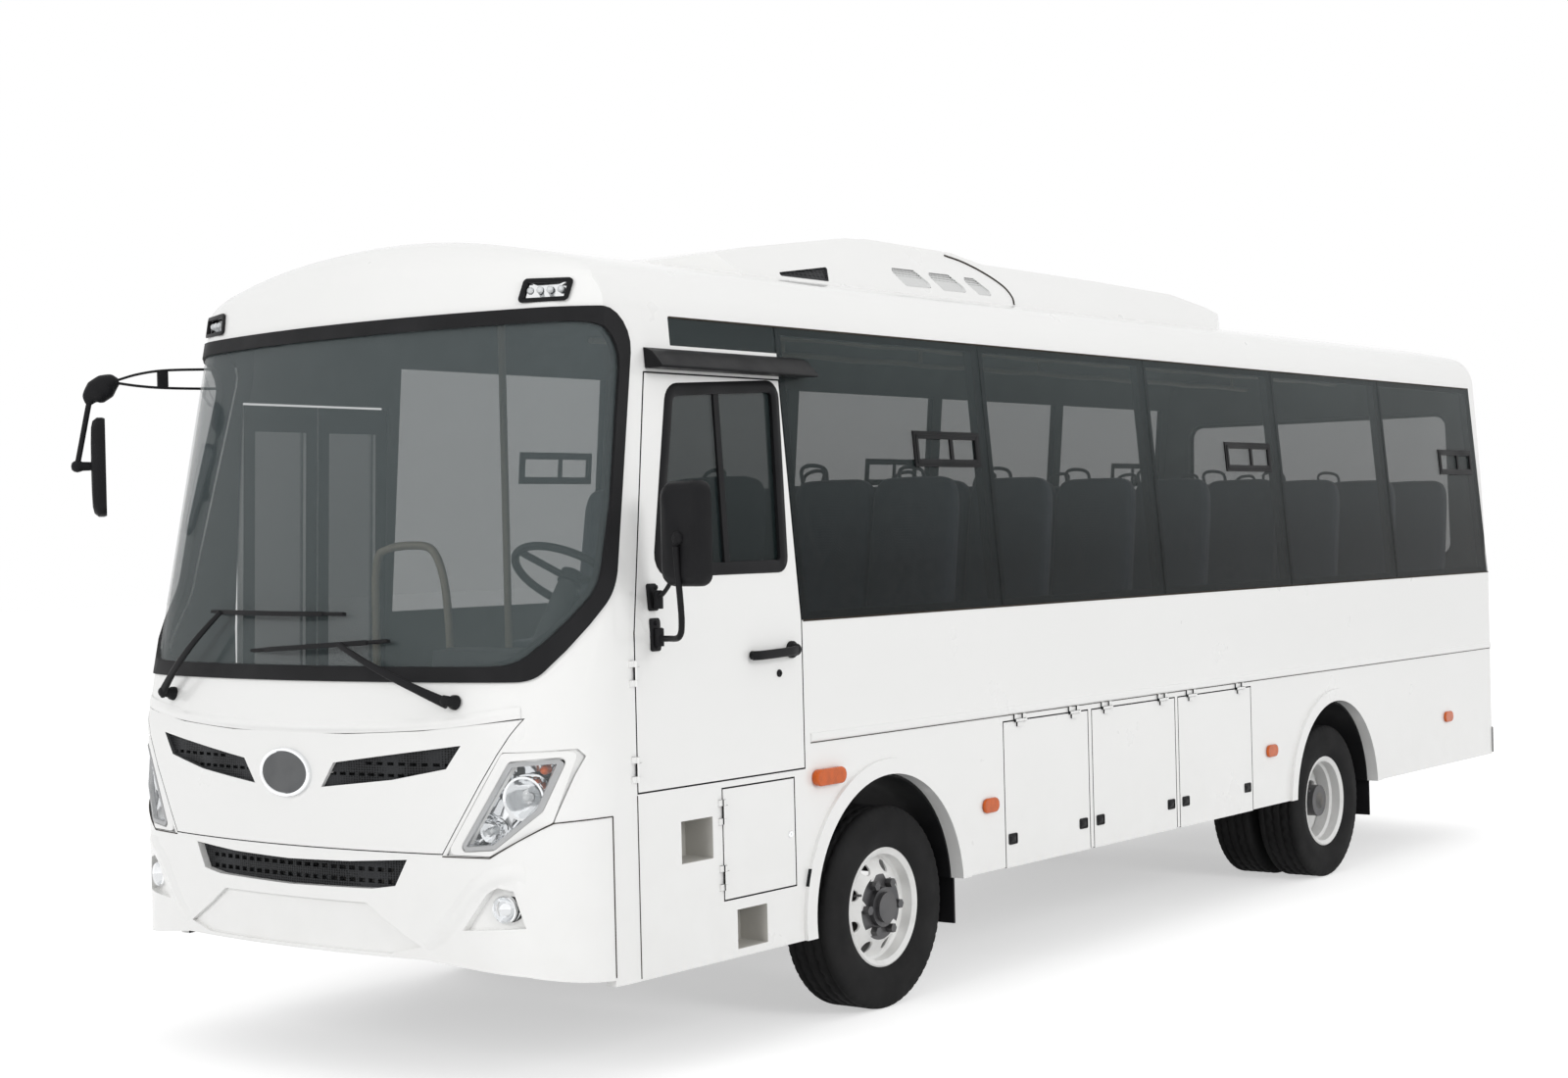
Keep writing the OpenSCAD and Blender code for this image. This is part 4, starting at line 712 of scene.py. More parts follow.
dressed("amber_lamps", [AMBER_LENS], bevel=0.006)
dressed("tail_lamps", [RED_LENS], bevel=0.006)
dressed("roof_unit", [WHITE_PAINT])

# %% [markdown]
# ## Wheels
# The rims keep their solids: a rolled barrel and a dished disc with hand holes. On the real coach the
# studs and the hub are dark against the silver, so a rule paints faces by how far they are from the
# axle.

# %% Rims painted by radius
HUB_RADIUS, STUD_RADIUS = 0.0795, 0.1245
STUDS_FROM = {"rim_front": 1.0655, "rims_rear": 0.8685}


def rim_rule(centre_x, centre_z, face_y):
    """Faces near the axle are hub, those standing out between hub and disc are studs."""

    def rule(c, n):
        """One for hub and studs, by the distance from the axle."""
        r = np.hypot(c[:, 0] - centre_x, c[:, 2] - centre_z)
        stud = (r < STUD_RADIUS) & (np.abs(c[:, 1]) > face_y)
        return np.where((r < HUB_RADIUS) | stud, 1, 0)

    return rule


for end, face in STUDS_FROM.items():
    for side in ("left", "right"):
        node = f"{end}_{side}"
        low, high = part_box(node)
        middle = (low + high) / 2
        dressed(node, [WHEEL_SILVER, STUD_STEEL], rim_rule(middle.x, middle.z, face))

# %% [markdown]
# ### Tyres
# A tyre could be a plain ring with a picture of tread on it, but the grooves catch real shadows. So the
# section from bead to bead is turned about the axle, and the radius drops in four grooves that wander a
# little from side to side. The tread then reads as ribs, and short notches mark the shoulders.

# %% Tyres with grooved ribs
BEAD, TYRE_WIDTH = 0.2225, 0.234
GROOVE, GROOVE_AT = 0.010, np.array([-0.066, -0.023, 0.023, 0.066])
SWING, SWINGS = 0.0035, 40
NOTCH, NOTCHES = 0.004, 60
TURNS, ACROSS = 240, 90


def tyre(centre, radius, width, side):
    """A tyre: a closed section from bead to bead, given by smooth points in (radius, offset), turned
    about the axle. On the tread the radius drops in each groove, and each groove's middle swings to
    and fro as a sine of the turn. The shoulders carry short notches, a cosine of the turn."""
    half = width / 2
    outer = [[BEAD, 0.080], [BEAD + 0.012, 0.091], [BEAD + 0.045, half - 0.006], [BEAD + 0.085, half],
             [BEAD + 0.125, half - 0.005], [radius - 0.022, 0.107], [radius - 0.006, 0.099], [radius, 0.086]]
    tread = [[radius, y] for y in (0.043, 0.0, -0.043)]
    section = smooth_path(outer + tread + [[r, -s] for r, s in outer[::-1]], ACROSS)
    inside = np.stack([np.full(6, BEAD), np.linspace(-0.07, 0.07, 6)], -1)
    section = np.concatenate([section, inside])
    a = np.linspace(0, 2 * np.pi, TURNS, endpoint=False)[:, None]
    r = np.broadcast_to(section[None, :, 0], (TURNS, len(section))).copy()
    s = np.broadcast_to(section[None, :, 1], r.shape)
    swing = SWING * np.sin(a * SWINGS)
    on_tread = (r > radius - 0.004) & (np.abs(s) < 0.09)
    away = np.abs(s[..., None] - GROOVE_AT - swing[..., None]).min(-1)
    r = r - on_tread * GROOVE * np.clip((0.0075 - away) / 0.003, 0, 1)
    shoulder = (r > radius - 0.03) & (np.abs(s) > 0.09)
    r = r - shoulder * NOTCH * (np.cos(a * NOTCHES) > 0.6)
    points = np.stack([r * np.cos(a), side * s, r * np.sin(a)], -1) + np.asarray(centre)
    return shell(points, close_rows=True, close_columns=True)


for end in ("tyre_front", "tyres_rear"):
    for name, side in (("left", LEFT), ("right", RIGHT)):
        node = f"{end}_{name}"
        low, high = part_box(node)
        radius = (high.z - low.z) / 2
        x, z = (low.x + high.x) / 2, (low.z + high.z) / 2
        across = {(low.y + high.y) / 2}
        if end == "tyres_rear":
            across = {low.y + TYRE_WIDTH / 2, high.y - TYRE_WIDTH / 2}
        shells = [tyre((x, y, z), radius, TYRE_WIDTH, side) for y in sorted(across)]
        made = piece(f"{node}_ribbed", shells, BODY_OF[node], TYRE_RUBBER, smooth=40)
        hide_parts(node)

# %% [markdown]
# ## Lamps
# Every lamp is built from three moves. An outline is drawn in towards its middle and down, which gives
# trays and domed panes. A profile is turned about a tilted axis, which gives reflectors and bulbs. Two
# outlines with the same corners are bridged, which gives flat surrounds.

# %% Helpers for lamps
def flipped(points, side):
    """The same outline on the other side, kept in its turning direction."""
    points = np.asarray(points, float)
    return points if side > 0 else (points * [-1, 1])[::-1]


def dished(outline, profile, place):
    """Rings of an outline, drawn in towards its middle: the profile gives each ring's share of the full
    size and its height over the surface."""
    outline, profile = np.asarray(outline, float), np.asarray(profile, float)
    middle = outline.mean(0)
    flat = middle + (outline - middle)[None] * profile[:, :1, None]
    height = np.broadcast_to(profile[:, 1:], flat.shape[:2])
    return shell(place(flat[..., 0], flat[..., 1], height), close_columns=True)


def turned(profile, centre, axis, count=40):
    """A profile of (radius, distance along the axis) turned about an axis through centre."""
    profile, axis = np.asarray(profile, float), unit(np.asarray(axis, float))
    first = unit(np.cross(axis, [0.0, 0.0, 1.0] if abs(axis[2]) < 0.9 else [1.0, 0.0, 0.0]))
    second = np.cross(axis, first)
    a = np.linspace(0, 2 * np.pi, count, endpoint=False)[:, None, None]
    ring = np.cos(a) * first + np.sin(a) * second
    points = np.asarray(centre) + profile[None, :, :1] * ring + profile[None, :, 1:] * axis
    return shell(points, close_rows=True)


def between(inner, outer, low, high, place):
    """A flat ring from one outline to another with the same corners, as thick as high less low."""
    edges = ((inner, low), (inner, high), (outer, high), (outer, low))
    rings = [place(o[:, 0], o[:, 1], np.full(len(o), h)) for o, h in edges]
    return shell(np.stack(rings), close_rows=True, close_columns=True)


def spot(place, across, up, height):
    """One point on a surface."""
    return place(np.array(across), np.array(up), np.array(height))


print("lamp helpers ready")

# %% [markdown]
# ### Headlamps
# Each headlamp is a slanted pane in a white surround. Behind the pane lies a bright tray with one large
# round reflector, a small one below it and an amber bulb in the top corner. The pane itself is thin and
# almost clear, so that the depth behind it can be seen.

# %% Headlamp trays, reflectors and panes
LENS = np.array([[0.771, 0.846], [0.895, 0.856], [1.029, 0.978], [1.083, 1.148], [0.948, 1.138]])
SURROUND = np.array([[0.712, 0.827], [0.878, 0.826], [1.058, 0.937], [1.112, 1.179], [0.925, 1.177]])
LENS_TRAY = [(1.0, -0.008), (0.97, -0.030), (0.93, -0.075), (0.6, -0.105), (0, -0.11)]
LENS_PANE = [(0.985, -0.004), (0.97, 0.001), (0.75, 0.004), (0.4, 0.006), (0, 0.0065)]
LENS_FRAME = [(0.004, -0.020), (0.004, 0.003), (-0.001, 0.005), (-0.011, 0.003), (-0.012, -0.012)]
LARGE_BOWL = [(0.080, -0.05), (0.080, 0.004), (0.075, 0.016), (0.067, 0.014), (0.060, 0.0), (0.050, -0.022),
              (0.033, -0.04), (0.016, -0.047), (0, -0.048)]
SMALL_BOWL = [(0.040, -0.05), (0.040, 0.0), (0.036, 0.006), (0.030, -0.006), (0.016, -0.022), (0, -0.026)]
LARGE_BULB = [(0.014, -0.045), (0.014, -0.016), (0.012, -0.008), (0.006, -0.003), (0, -0.002)]
SMALL_BULB = [(0.007, -0.026), (0.007, -0.008), (0.004, -0.004), (0, -0.003)]
CORNER_BULB = [(0.016, -0.035), (0.016, -0.004), (0.012, 0.006), (0.005, 0.011), (0, 0.012)]
LARGE_AT, SMALL_AT, CORNER_AT = (0.985, 1.018, -0.050), (0.858, 0.906, -0.050), (1.040, 1.112, -0.036)
LAMP_TURN = 0.35
trays, bowls, bulbs, ambers, bezels, panes, surrounds = [], [], [], [], [], [], []
for side in (LEFT, RIGHT):
    lens_line = flipped(rounded(LENS, 0.014), side)
    axis = (math.cos(LAMP_TURN), side * math.sin(LAMP_TURN), 0.0)
    large, small, corner = (spot(on_nose, side * y, z, h) for y, z, h in (LARGE_AT, SMALL_AT, CORNER_AT))
    trays.append(dished(lens_line, LENS_TRAY, on_nose))
    bowls += [turned(LARGE_BOWL, large, axis, 56), turned(SMALL_BOWL, small, axis)]
    bulbs += [turned(LARGE_BULB, large, axis, 24), turned(SMALL_BULB, small, axis, 20)]
    ambers.append(turned(CORNER_BULB, corner, axis, 28))
    bezels.append(band(lens_line, LENS_FRAME, on_nose))
    panes.append(dished(lens_line, LENS_PANE, on_nose))
    inner = flipped(rounded(LENS + (LENS - LENS.mean(0)) * 0.055, 0.016), side)
    outer = flipped(rounded(SURROUND - (SURROUND - SURROUND.mean(0)) * 0.012, 0.018), side)
    surrounds.append(between(inner, outer, -0.0088, 0.002, on_nose))
made = piece("headlamp_panes", panes, COACH, CLEAR_LENS, smooth=60)
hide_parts("headlamps")
piece("headlamp_trays", trays, COACH, CHROME, smooth=50)
piece("headlamp_reflectors", bowls, COACH, CHROME, smooth=40)
piece("headlamp_bulbs", bulbs, COACH, WHITE_LENS, smooth=60)
piece("headlamp_amber_bulbs", ambers, COACH, AMBER_LENS, smooth=60)
piece("headlamp_bezels", bezels, COACH, LAMP_BEZEL, smooth=40)
piece("headlamp_surrounds", surrounds, COACH, WHITE_PAINT, bevel=0.003)

# %% [markdown]
# ### Fog lamps and roof lamps
# The fog lamps look out of pockets in the bumper. Above the windscreen each corner has a small framed
# tray with a row of four lights. At this size a bowl, a domed pane and a frame say enough.

# %% Fog lamps and roof marker lamps
FOG_AT, FOG_TURN = (0.918, 0.648, -0.028), 0.2
FOG_BOWL = [(0.047, -0.02), (0.047, 0.012), (0.043, 0.016), (0.039, 0.010), (0.034, -0.004),
            (0.018, -0.02), (0, -0.024)]
FOG_PANE = [(0.040, 0.010), (0.030, 0.015), (0.014, 0.018), (0, 0.019)]
ROOF_LAMP = np.array([[0.786, 2.716], [0.952, 2.716], [0.962, 2.785], [0.800, 2.789]])
ROOF_TRAY = [(1.0, 0.003), (0.97, -0.012), (0.9, -0.016), (0, -0.016)]
ROOF_FRAME = [(0.006, 0.001), (0.006, 0.007), (-0.006, 0.008), (-0.010, 0.004), (-0.010, -0.008)]
SMALL_LIGHT = [(0.013, 0.0), (0.012, 0.008), (0.007, 0.012), (0, 0.013)]
LIGHTS_FROM, LIGHT_STEP, LIGHTS_Z = 0.815, 0.038, 2.752
LEANING_OUT = (1, 0, 0.2)
fog_bowls, fog_panes, roof_trays, roof_frames, lights = [], [], [], [], []
for side in (LEFT, RIGHT):
    at = spot(on_nose, side * FOG_AT[0], *FOG_AT[1:])
    axis = (math.cos(FOG_TURN), side * math.sin(FOG_TURN), 0.0)
    fog_bowls.append(turned(FOG_BOWL, at, axis, 44))
    fog_panes.append(turned(FOG_PANE, at, axis, 36))
    line = flipped(rounded(ROOF_LAMP, 0.010), side)
    roof_trays.append(dished(line, ROOF_TRAY, on_nose))
    roof_frames.append(band(line, ROOF_FRAME, on_nose))
    for k in range(4):
        at = spot(on_nose, side * (LIGHTS_FROM + LIGHT_STEP * k), LIGHTS_Z, -0.015)
        lights.append(turned(SMALL_LIGHT, at, LEANING_OUT, 20))
piece("fog_lamp_bowls", fog_bowls, COACH, CHROME, smooth=40)
piece("fog_lamp_panes", fog_panes, COACH, CLEAR_LENS, smooth=60)
piece("roof_lamp_trays", roof_trays, COACH, CHROME, smooth=40)
piece("roof_lamp_frames", roof_frames, COACH, BLACK_PLASTIC, smooth=40)
piece("roof_lamp_lights", lights, COACH, WHITE_LENS, smooth=60)

# %% [markdown]
# ## Form lines on the nose
# The nose is not one even skin. A low brow runs over the service panel, and on each side a soft lip
# comes down round the fog lamp to the chin. Each is a ridge with the section of a cosine bell, laid on
# the bowed nose and faded out at its ends.

# %% Brow and lips
def ridge(line, width, height):
    """A soft ridge along a line of (y, z) on the nose: a cosine bell across, and a root of a half sine
    along, so that both ends fade out."""
    along = unit(np.gradient(line, axis=0))
    out = np.stack([along[:, 1], -along[:, 0]], -1)
    s = np.linspace(-1, 1, 13)
    flat = line[:, None] + 0.5 * width * s[None, :, None] * out[:, None]
    fade = np.sqrt(np.sin(np.pi * np.linspace(0.002, 0.998, len(line))))
    rise = height * fade[:, None] * np.cos(np.pi / 2 * s)[None] ** 2 - 0.0008
    return shell(on_nose(flat[..., 0], flat[..., 1], rise), close_columns=True, caps=True)


LIP = [[0.985, 0.775], [0.920, 0.770], [0.850, 0.738], [0.795, 0.690], [0.745, 0.630], [0.690, 0.565],
       [0.620, 0.515]]
BROW = [[0.975, 1.310], [0.800, 1.286], [0.624, 1.269], [0.300, 1.253], [0.0, 1.249]]
BROW = BROW + [[-y, z] for y, z in BROW[-2::-1]]
lips = [ridge(smooth_path(flipped(LIP, side), 40), 0.075, 0.011) for side in (LEFT, RIGHT)]
piece("bumper_lips", lips, COACH, WHITE_PAINT, smooth=60)
piece("nose_brow", ridge(smooth_path(BROW, 60), 0.040, 0.008), COACH, WHITE_PAINT, smooth=60)

# %% [markdown]
# ### A plain oval and the panel joints
# In the middle of the service panel sits a plain oval with a bright rim: an ellipse laid on the nose,
# and a small profile carried round it. Thin dark joints mark where bumper and cap meet. They could be
# cut as real gaps, but a bead a few millimetres thick reads the same and keeps the panels whole.

# %% Oval and bumper joints
turn = np.linspace(0, 2 * np.pi, 64, endpoint=False)
OVAL = np.stack([0.122 * np.cos(turn), 1.088 + 0.080 * np.sin(turn)], -1)
OVAL_RIM = [(-0.007, 0.0), (-0.007, 0.012), (-0.004, 0.0155), (0.004, 0.0155), (0.007, 0.012), (0.007, 0.0)]
piece("nose_oval", [slab(OVAL, 0.0, 0.0115, on_nose)], COACH, CAST_GREY)
piece("nose_oval_rim", [band(OVAL, OVAL_RIM, on_nose)], COACH, CHROME, smooth=40)

BUMPER_EDGE = np.array([[0.698, 0.823], [0.878, 0.823], [1.058, 0.936], [1.1458, 0.9425]])
BUMPER_FOOT = 0.395
CAP_EDGE_X, CAP_EDGE_Z = 3.740, (1.000, 0.372)
JOINT, JOINT_LIFT = circle(0.0022, 6), 0.0004
AHEAD = (1, 0, 0)
joint_lines = []
for side in (LEFT, RIGHT):
    t = np.linspace(0, 3, 40)
    y, z = (np.interp(t, range(4), column) for column in BUMPER_EDGE.T)
    joint_lines.append(swept(on_nose(side * y, z, np.full(40, JOINT_LIFT)), JOINT))
    y, z = np.full(20, side * BUMPER_EDGE[-1, 0]), np.linspace(BUMPER_EDGE[-1, 1], BUMPER_FOOT, 20)
    joint_lines.append(swept(on_nose(y, z, np.full(20, JOINT_LIFT)), JOINT, up=AHEAD))
    if side == LEFT:
        z = np.linspace(*CAP_EDGE_Z, 20)
        line = np.stack([np.full(20, CAP_EDGE_X), np.full(20, HALF + JOINT_LIFT), z], -1)
        joint_lines.append(swept(line, JOINT, up=AHEAD))
piece("bumper_joints", joint_lines, COACH, SEALANT, smooth=60)

# %% [markdown]
# ## Glass edges and side trim
# The side panes are bonded, so what shows round them is sealant: a thin brown-black bead above and below
# the whole row. A low moulding runs along the skirt just over the luggage flaps. Each bead or moulding
# is one small profile carried along the wall.

# %% Sealant beads and the skirt moulding
def along_wall(side, x0, x1, z, profile, count=24):
    """A closed profile of (height over the wall, rise) carried along a side wall at one height."""
    profile = np.asarray(profile, float)
    x = np.linspace(x0, x1, count)[:, None]
    rise = z + profile[None, :, 1]
    points = np.stack(np.broadcast_arrays(x, side * (wall_y(rise) + profile[None, :, 0]), rise), -1)
    return shell(points, close_columns=True, caps=True)


ROW_FRONT, ROW_REAR, TOP_STRIP_FRONT = 2.770, -4.146, 3.396
BEAD_LINE = [[-0.002, -0.004], [0.002, -0.003], [0.003, 0.0], [0.002, 0.003], [-0.002, 0.004]]
RUNS = ((LEFT, WAIST, ROW_FRONT), (LEFT, WINDOW_TOP, TOP_STRIP_FRONT), (RIGHT, WAIST, ROW_FRONT),
        (RIGHT, WINDOW_TOP, ROW_FRONT))
beads = [along_wall(side, front, ROW_REAR, z, BEAD_LINE) for side, z, front in RUNS]
piece("window_sealant_beads", beads, COACH, SEALANT, smooth=60)

SKIRT_FRONT, MOULDING_Z, UNDER_MOULDING_Z = 2.74, 1.118, 1.0985
MOULDING = [[-0.001, -0.018], [0.005, -0.015], [0.007, -0.006], [0.007, 0.006], [0.005, 0.015],
            [-0.001, 0.018]]
MOULDING_JOINT = [[-0.001, -0.0015], [0.002, -0.0015], [0.002, 0.0015], [-0.001, 0.0015]]
mouldings = [along_wall(side, SKIRT_FRONT, ROW_REAR, MOULDING_Z, MOULDING) for side in (LEFT, RIGHT)]
piece("skirt_mouldings", mouldings, COACH, WHITE_PAINT, smooth=60)
joints = [along_wall(side, SKIRT_FRONT, ROW_REAR, UNDER_MOULDING_Z, MOULDING_JOINT) for side in (LEFT, RIGHT)]
piece("skirt_moulding_joints", joints, COACH, SEALANT)

# %% [markdown]
# ### Sliding vents
# Three panes a side have a small sliding vent. The solid gives its outer frame. What makes it look as if
# it slides is a second, thinner frame inside the first and an upright where its two panes overlap.

# %% Sliding vents
VENT_Z = (2.147, 2.293)
VENTS_X = ((1.920, 1.430), (-0.830, -1.330), (-3.560, -4.060))
SLIDE_FRAME = [(-0.014, 0.0005), (-0.014, 0.008), (-0.010, 0.010), (0.004, 0.010), (0.005, 0.0075)]
slides = []
for x1, x0 in VENTS_X:
    x, z, tall = (x0 + x1) / 2, sum(VENT_Z) / 2, VENT_Z[1] - VENT_Z[0]
    line = rectangle(x1 - x0 - 0.040, tall - 0.036, 0.003) + [x, z]
    upright = rectangle(0.022, tall - 0.040, 0.004) + [x - 0.03, z]
    for side in (LEFT, RIGHT):
        slides.append(band(line, SLIDE_FRAME, on_side(side)))
        slides.append(slab(upright, 0.0005, 0.009, on_side(side)))
piece("vent_slides", slides, COACH, BLACK_PLASTIC, smooth=40)

# %% [markdown]
# ### Latches and locks
# Each luggage flap is held by two sunk paddle latches near its lower corners, and the battery cover by a
# round key lock. A latch is two dished outlines, one inside the other, and it lifts with its own flap.

# %% Flap latches and the battery lock
LATCH_X = {"luggage_left_1": (1.325, 0.735), "luggage_left_2": (0.585, -0.080),
           "luggage_left_3": (-0.225, -0.875)}
LATCH_Z = 0.575
LATCH_PAN = [(1.02, -0.002), (1.0, 0.004), (0.86, 0.004), (0.82, 0.001), (0, 0.001)]
LATCH_PADDLE = [(1.0, 0.0), (0.98, 0.004), (0.8, 0.006), (0, 0.006)]
COVER_LOCK = [(0.013, -0.002), (0.013, 0.004), (0.011, 0.006), (0.004, 0.006), (0.003, 0.002), (0, 0.002)]
COVER_LOCK_AT = (2.880, HALF, 0.771)
SIDEWAYS = (0, 1, 0)


def latch(x, z, side):
    """A sunk paddle latch: a framed pan and a paddle in it."""
    pan = rectangle(0.068, 0.046, 0.008) + [x, z]
    paddle = rectangle(0.046, 0.026, 0.006) + [x + 0.004, z]
    return [dished(pan, LATCH_PAN, on_side(side)), dished(paddle, LATCH_PADDLE, on_side(side))]


for body, places in LATCH_X.items():
    for name, side in (("left", LEFT), ("right", RIGHT)):
        owner = body.replace("left", name)
        shells = [s for x in places for s in latch(x, LATCH_Z, side)]
        piece(f"{owner}_latches", shells, owner, BLACK_PLASTIC, smooth=40)
lock = turned(COVER_LOCK, COVER_LOCK_AT, SIDEWAYS, 24)
piece("battery_cover_lock", lock, "battery_cover", CHROME, smooth=40)

# %% [markdown]
# ### Step pockets
# Two square pockets in the skirt serve the driver as steps. The wall has the holes; a pale liner gives
# them a floor and sides, as one outline drawn inwards with a little taper.

# %% Step pocket liners
POCKETS = (((3.335, 0.737), (3.510, 0.886)), ((3.030, 0.393), (3.205, 0.535)))
LINER = [(1.0, 0.0005), (0.985, -0.002), (0.985, -0.040), (0.97, -0.125), (0, -0.125)]
liners = []
for (x0, z0), (x1, z1) in POCKETS:
    line = rectangle(x1 - x0, z1 - z0, 0.004) + [(x0 + x1) / 2, (z0 + z1) / 2]
    liners.append(dished(line, LINER, on_side(LEFT)))
piece("step_pocket_liners", liners, COACH, POCKET_GREY, smooth=30)

# %% [markdown]
# ## The driver's door
# A black frame stands round the door's window, with an upright between the fixed pane and the sliding
# one. The frame is one small profile carried round the window's outline, which keeps its corners round.
# It turns with the door, so it rides on the door's body.

# %% Window frame and upright
DOOR = "drivers_door"
DOOR_WINDOW = [[2.862, 1.777], [3.572, 1.777], [3.420, 2.400], [2.820, 2.432]]
DOOR_UPRIGHT = [[3.170, 1.77], [3.200, 1.77], [3.176, 2.425], [3.146, 2.425]]
DOOR_SILL = [[2.855, 1.77], [3.172, 1.77], [3.172, 1.792], [2.855, 1.792]]
DOOR_FRAME = [(-0.012, -0.012), (-0.012, 0.001), (-0.006, 0.005), (0.028, 0.005), (0.033, 0.001),
              (0.033, -0.001)]
window_line = rounded(DOOR_WINDOW, [0.030, 0.040, 0.050, 0.030])
shells = [band(window_line, DOOR_FRAME, on_side(LEFT)),
          slab(DOOR_UPRIGHT, -0.013, -0.003, on_side(LEFT)),
          slab(DOOR_SILL, -0.013, -0.005, on_side(LEFT))]
piece("door_window_frame", shells, DOOR, BLACK_PLASTIC, smooth=40)

# %% [markdown]
# ### The door handle
# The handle is a grip on a round boss, with a lock below it. The grip is a rounded bar carried along a
# gentle curve. The boss, the foot and the lock are small profiles turned about the way out of the door.

# %% Handle and lock
GRIP = [[3.105, HALF + 0.020, 1.447], [3.080, HALF + 0.036, 1.447], [3.000, HALF + 0.040, 1.449],
        [2.900, HALF + 0.038, 1.452], [2.850, HALF + 0.030, 1.455]]
GRIP_BOSS = [(0.032, -0.001), (0.032, 0.010), (0.029, 0.014), (0.024, 0.015), (0.022, 0.030), (0.018, 0.036),
             (0, 0.037)]
GRIP_FOOT = [(0.016, -0.001), (0.016, 0.020), (0, 0.021)]
DOOR_LOCK = [(0.014, -0.001), (0.014, 0.004), (0.011, 0.007), (0.005, 0.007), (0.004, 0.003), (0, 0.003)]
shells = [swept(smooth_path(GRIP, 26), rectangle(0.014, 0.034, 0.006)),
          turned(GRIP_BOSS, (2.848, HALF, 1.456), SIDEWAYS, 32),
          turned(GRIP_FOOT, (3.085, HALF, 1.447), SIDEWAYS, 24),
          turned(DOOR_LOCK, (2.925, HALF, 1.372), SIDEWAYS, 24)]
made = piece("driver_door_handle", shells, DOOR, BLACK_PLASTIC, smooth=45)
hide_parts("driver_door_fittings")

# %% [markdown]
# ### The door mirror
# A moulded shell with a flat glass in its back hangs on a bent tube, and a thinner stay holds it from
# above. Both start at small bracket plates with bolts. The shell is one rounded outline drawn through a
# row of sizes and depths, which gives its bulge without any sculpting.

# %% A mirror head, and the door's mirror
HEAD_AT = (3.700, HALF + 0.205, 1.896)
BRACKET_X, BRACKETS = 3.628, ((1.548, 0.115), (1.678, 0.095))
MIRROR_TUBE = [[3.625, HALF + 0.016, 1.535], [3.650, HALF + 0.080, 1.536], [3.700, HALF + 0.170, 1.545],
               [3.716, HALF + 0.196, 1.600], [3.735, HALF + 0.202, 1.740], [3.748, HALF + 0.205, 1.860],
               [3.735, HALF + 0.205, 1.885]]
MIRROR_STAY = [[3.628, HALF + 0.016, 1.680], [3.650, HALF + 0.060, 1.690], [3.690, HALF + 0.130, 1.735],
               [3.705, HALF + 0.150, 1.790]]
BRACKET = [(1.0, 0.0), (1.0, 0.006), (0.92, 0.009), (0, 0.009)]
BRACKET_BARREL = [(0.017, -0.03), (0.017, 0.03), (0.012, 0.034), (0, 0.034)]
BRACKET_BOLT = [(0.009, 0.006), (0.009, 0.013), (0.006, 0.015), (0, 0.015)]
TUBE_SOCKET = [(0.024, -0.012), (0.024, 0.006), (0.018, 0.012), (0, 0.013)]


def placed(centre, right, upward, out):
    """Puts (across, up, height) at a centre, along three directions."""
    centre, right, upward, out = (np.asarray(v, float) for v in (centre, right, upward, out))
    return lambda x, z, h: centre + x[..., None] * right + z[..., None] * upward + h[..., None] * out


def mirror_head(centre, turn, width, height, depth):
    """A mirror: a rounded shell bulged to the front, and a flat glass set into its back."""
    ahead = np.array([math.cos(turn), math.sin(turn), 0.0])
    place = placed(centre, np.array([-math.sin(turn), math.cos(turn), 0.0]), (0, 0, 1), ahead)
    line = rectangle(width, height, 0.045, 6)
    back = -depth / 2
    rim = [(0.90, back + 0.006), (0.93, back), (0.98, back), (1.0, back + 0.010), (1.0, back + 0.030)]
    bulge = [(0.985, back + depth * 0.62), (0.93, back + depth * 0.85), (0.80, back + depth * 0.96),
             (0.5, back + depth), (0, back + depth * 1.02)]
    face = [(0.91, back + 0.008), (0.905, back + 0.004), (0.5, back + 0.003), (0, back + 0.003)]
    return dished(line, rim + bulge, place), dished(line, face, place)


case, glass = mirror_head(HEAD_AT, -0.21, 0.215, 0.360, 0.070)
arms = [swept(smooth_path(MIRROR_TUBE, 50), circle(0.011)),
        swept(smooth_path(MIRROR_STAY, 30), circle(0.008))]
for z, tall in BRACKETS:
    arms.append(dished(rectangle(0.052, tall, 0.010) + [BRACKET_X, z], BRACKET, on_side(LEFT)))
    arms.append(turned(BRACKET_BARREL, (BRACKET_X, HALF + 0.020, z - 0.010), (0, 0, 1), 24))
    arms += [turned(BRACKET_BOLT, (BRACKET_X, HALF, z + dz * tall), SIDEWAYS, 6) for dz in (-0.36, 0.36)]
arms.append(turned(TUBE_SOCKET, (3.738, HALF + 0.205, 1.880), (1, -0.2, 0), 28))
piece("door_mirror_shell", case, DOOR, BLACK_PLASTIC, smooth=50)
piece("door_mirror_glass", glass, DOOR, MIRROR_GLASS, smooth=50)
piece("door_mirror_arms", arms, DOOR, BLACK_PLASTIC, smooth=50)

# %% [markdown]
# ### The far corner's mirror
# At the coach's other front corner a two-bar arm reaches forward from the pillar to a fat knuckle, from
# which a thin rod drops to the mirror. The knuckle is a ring carried along a curved spine with a changing
# width, since neither a ball nor a tube has its shape.

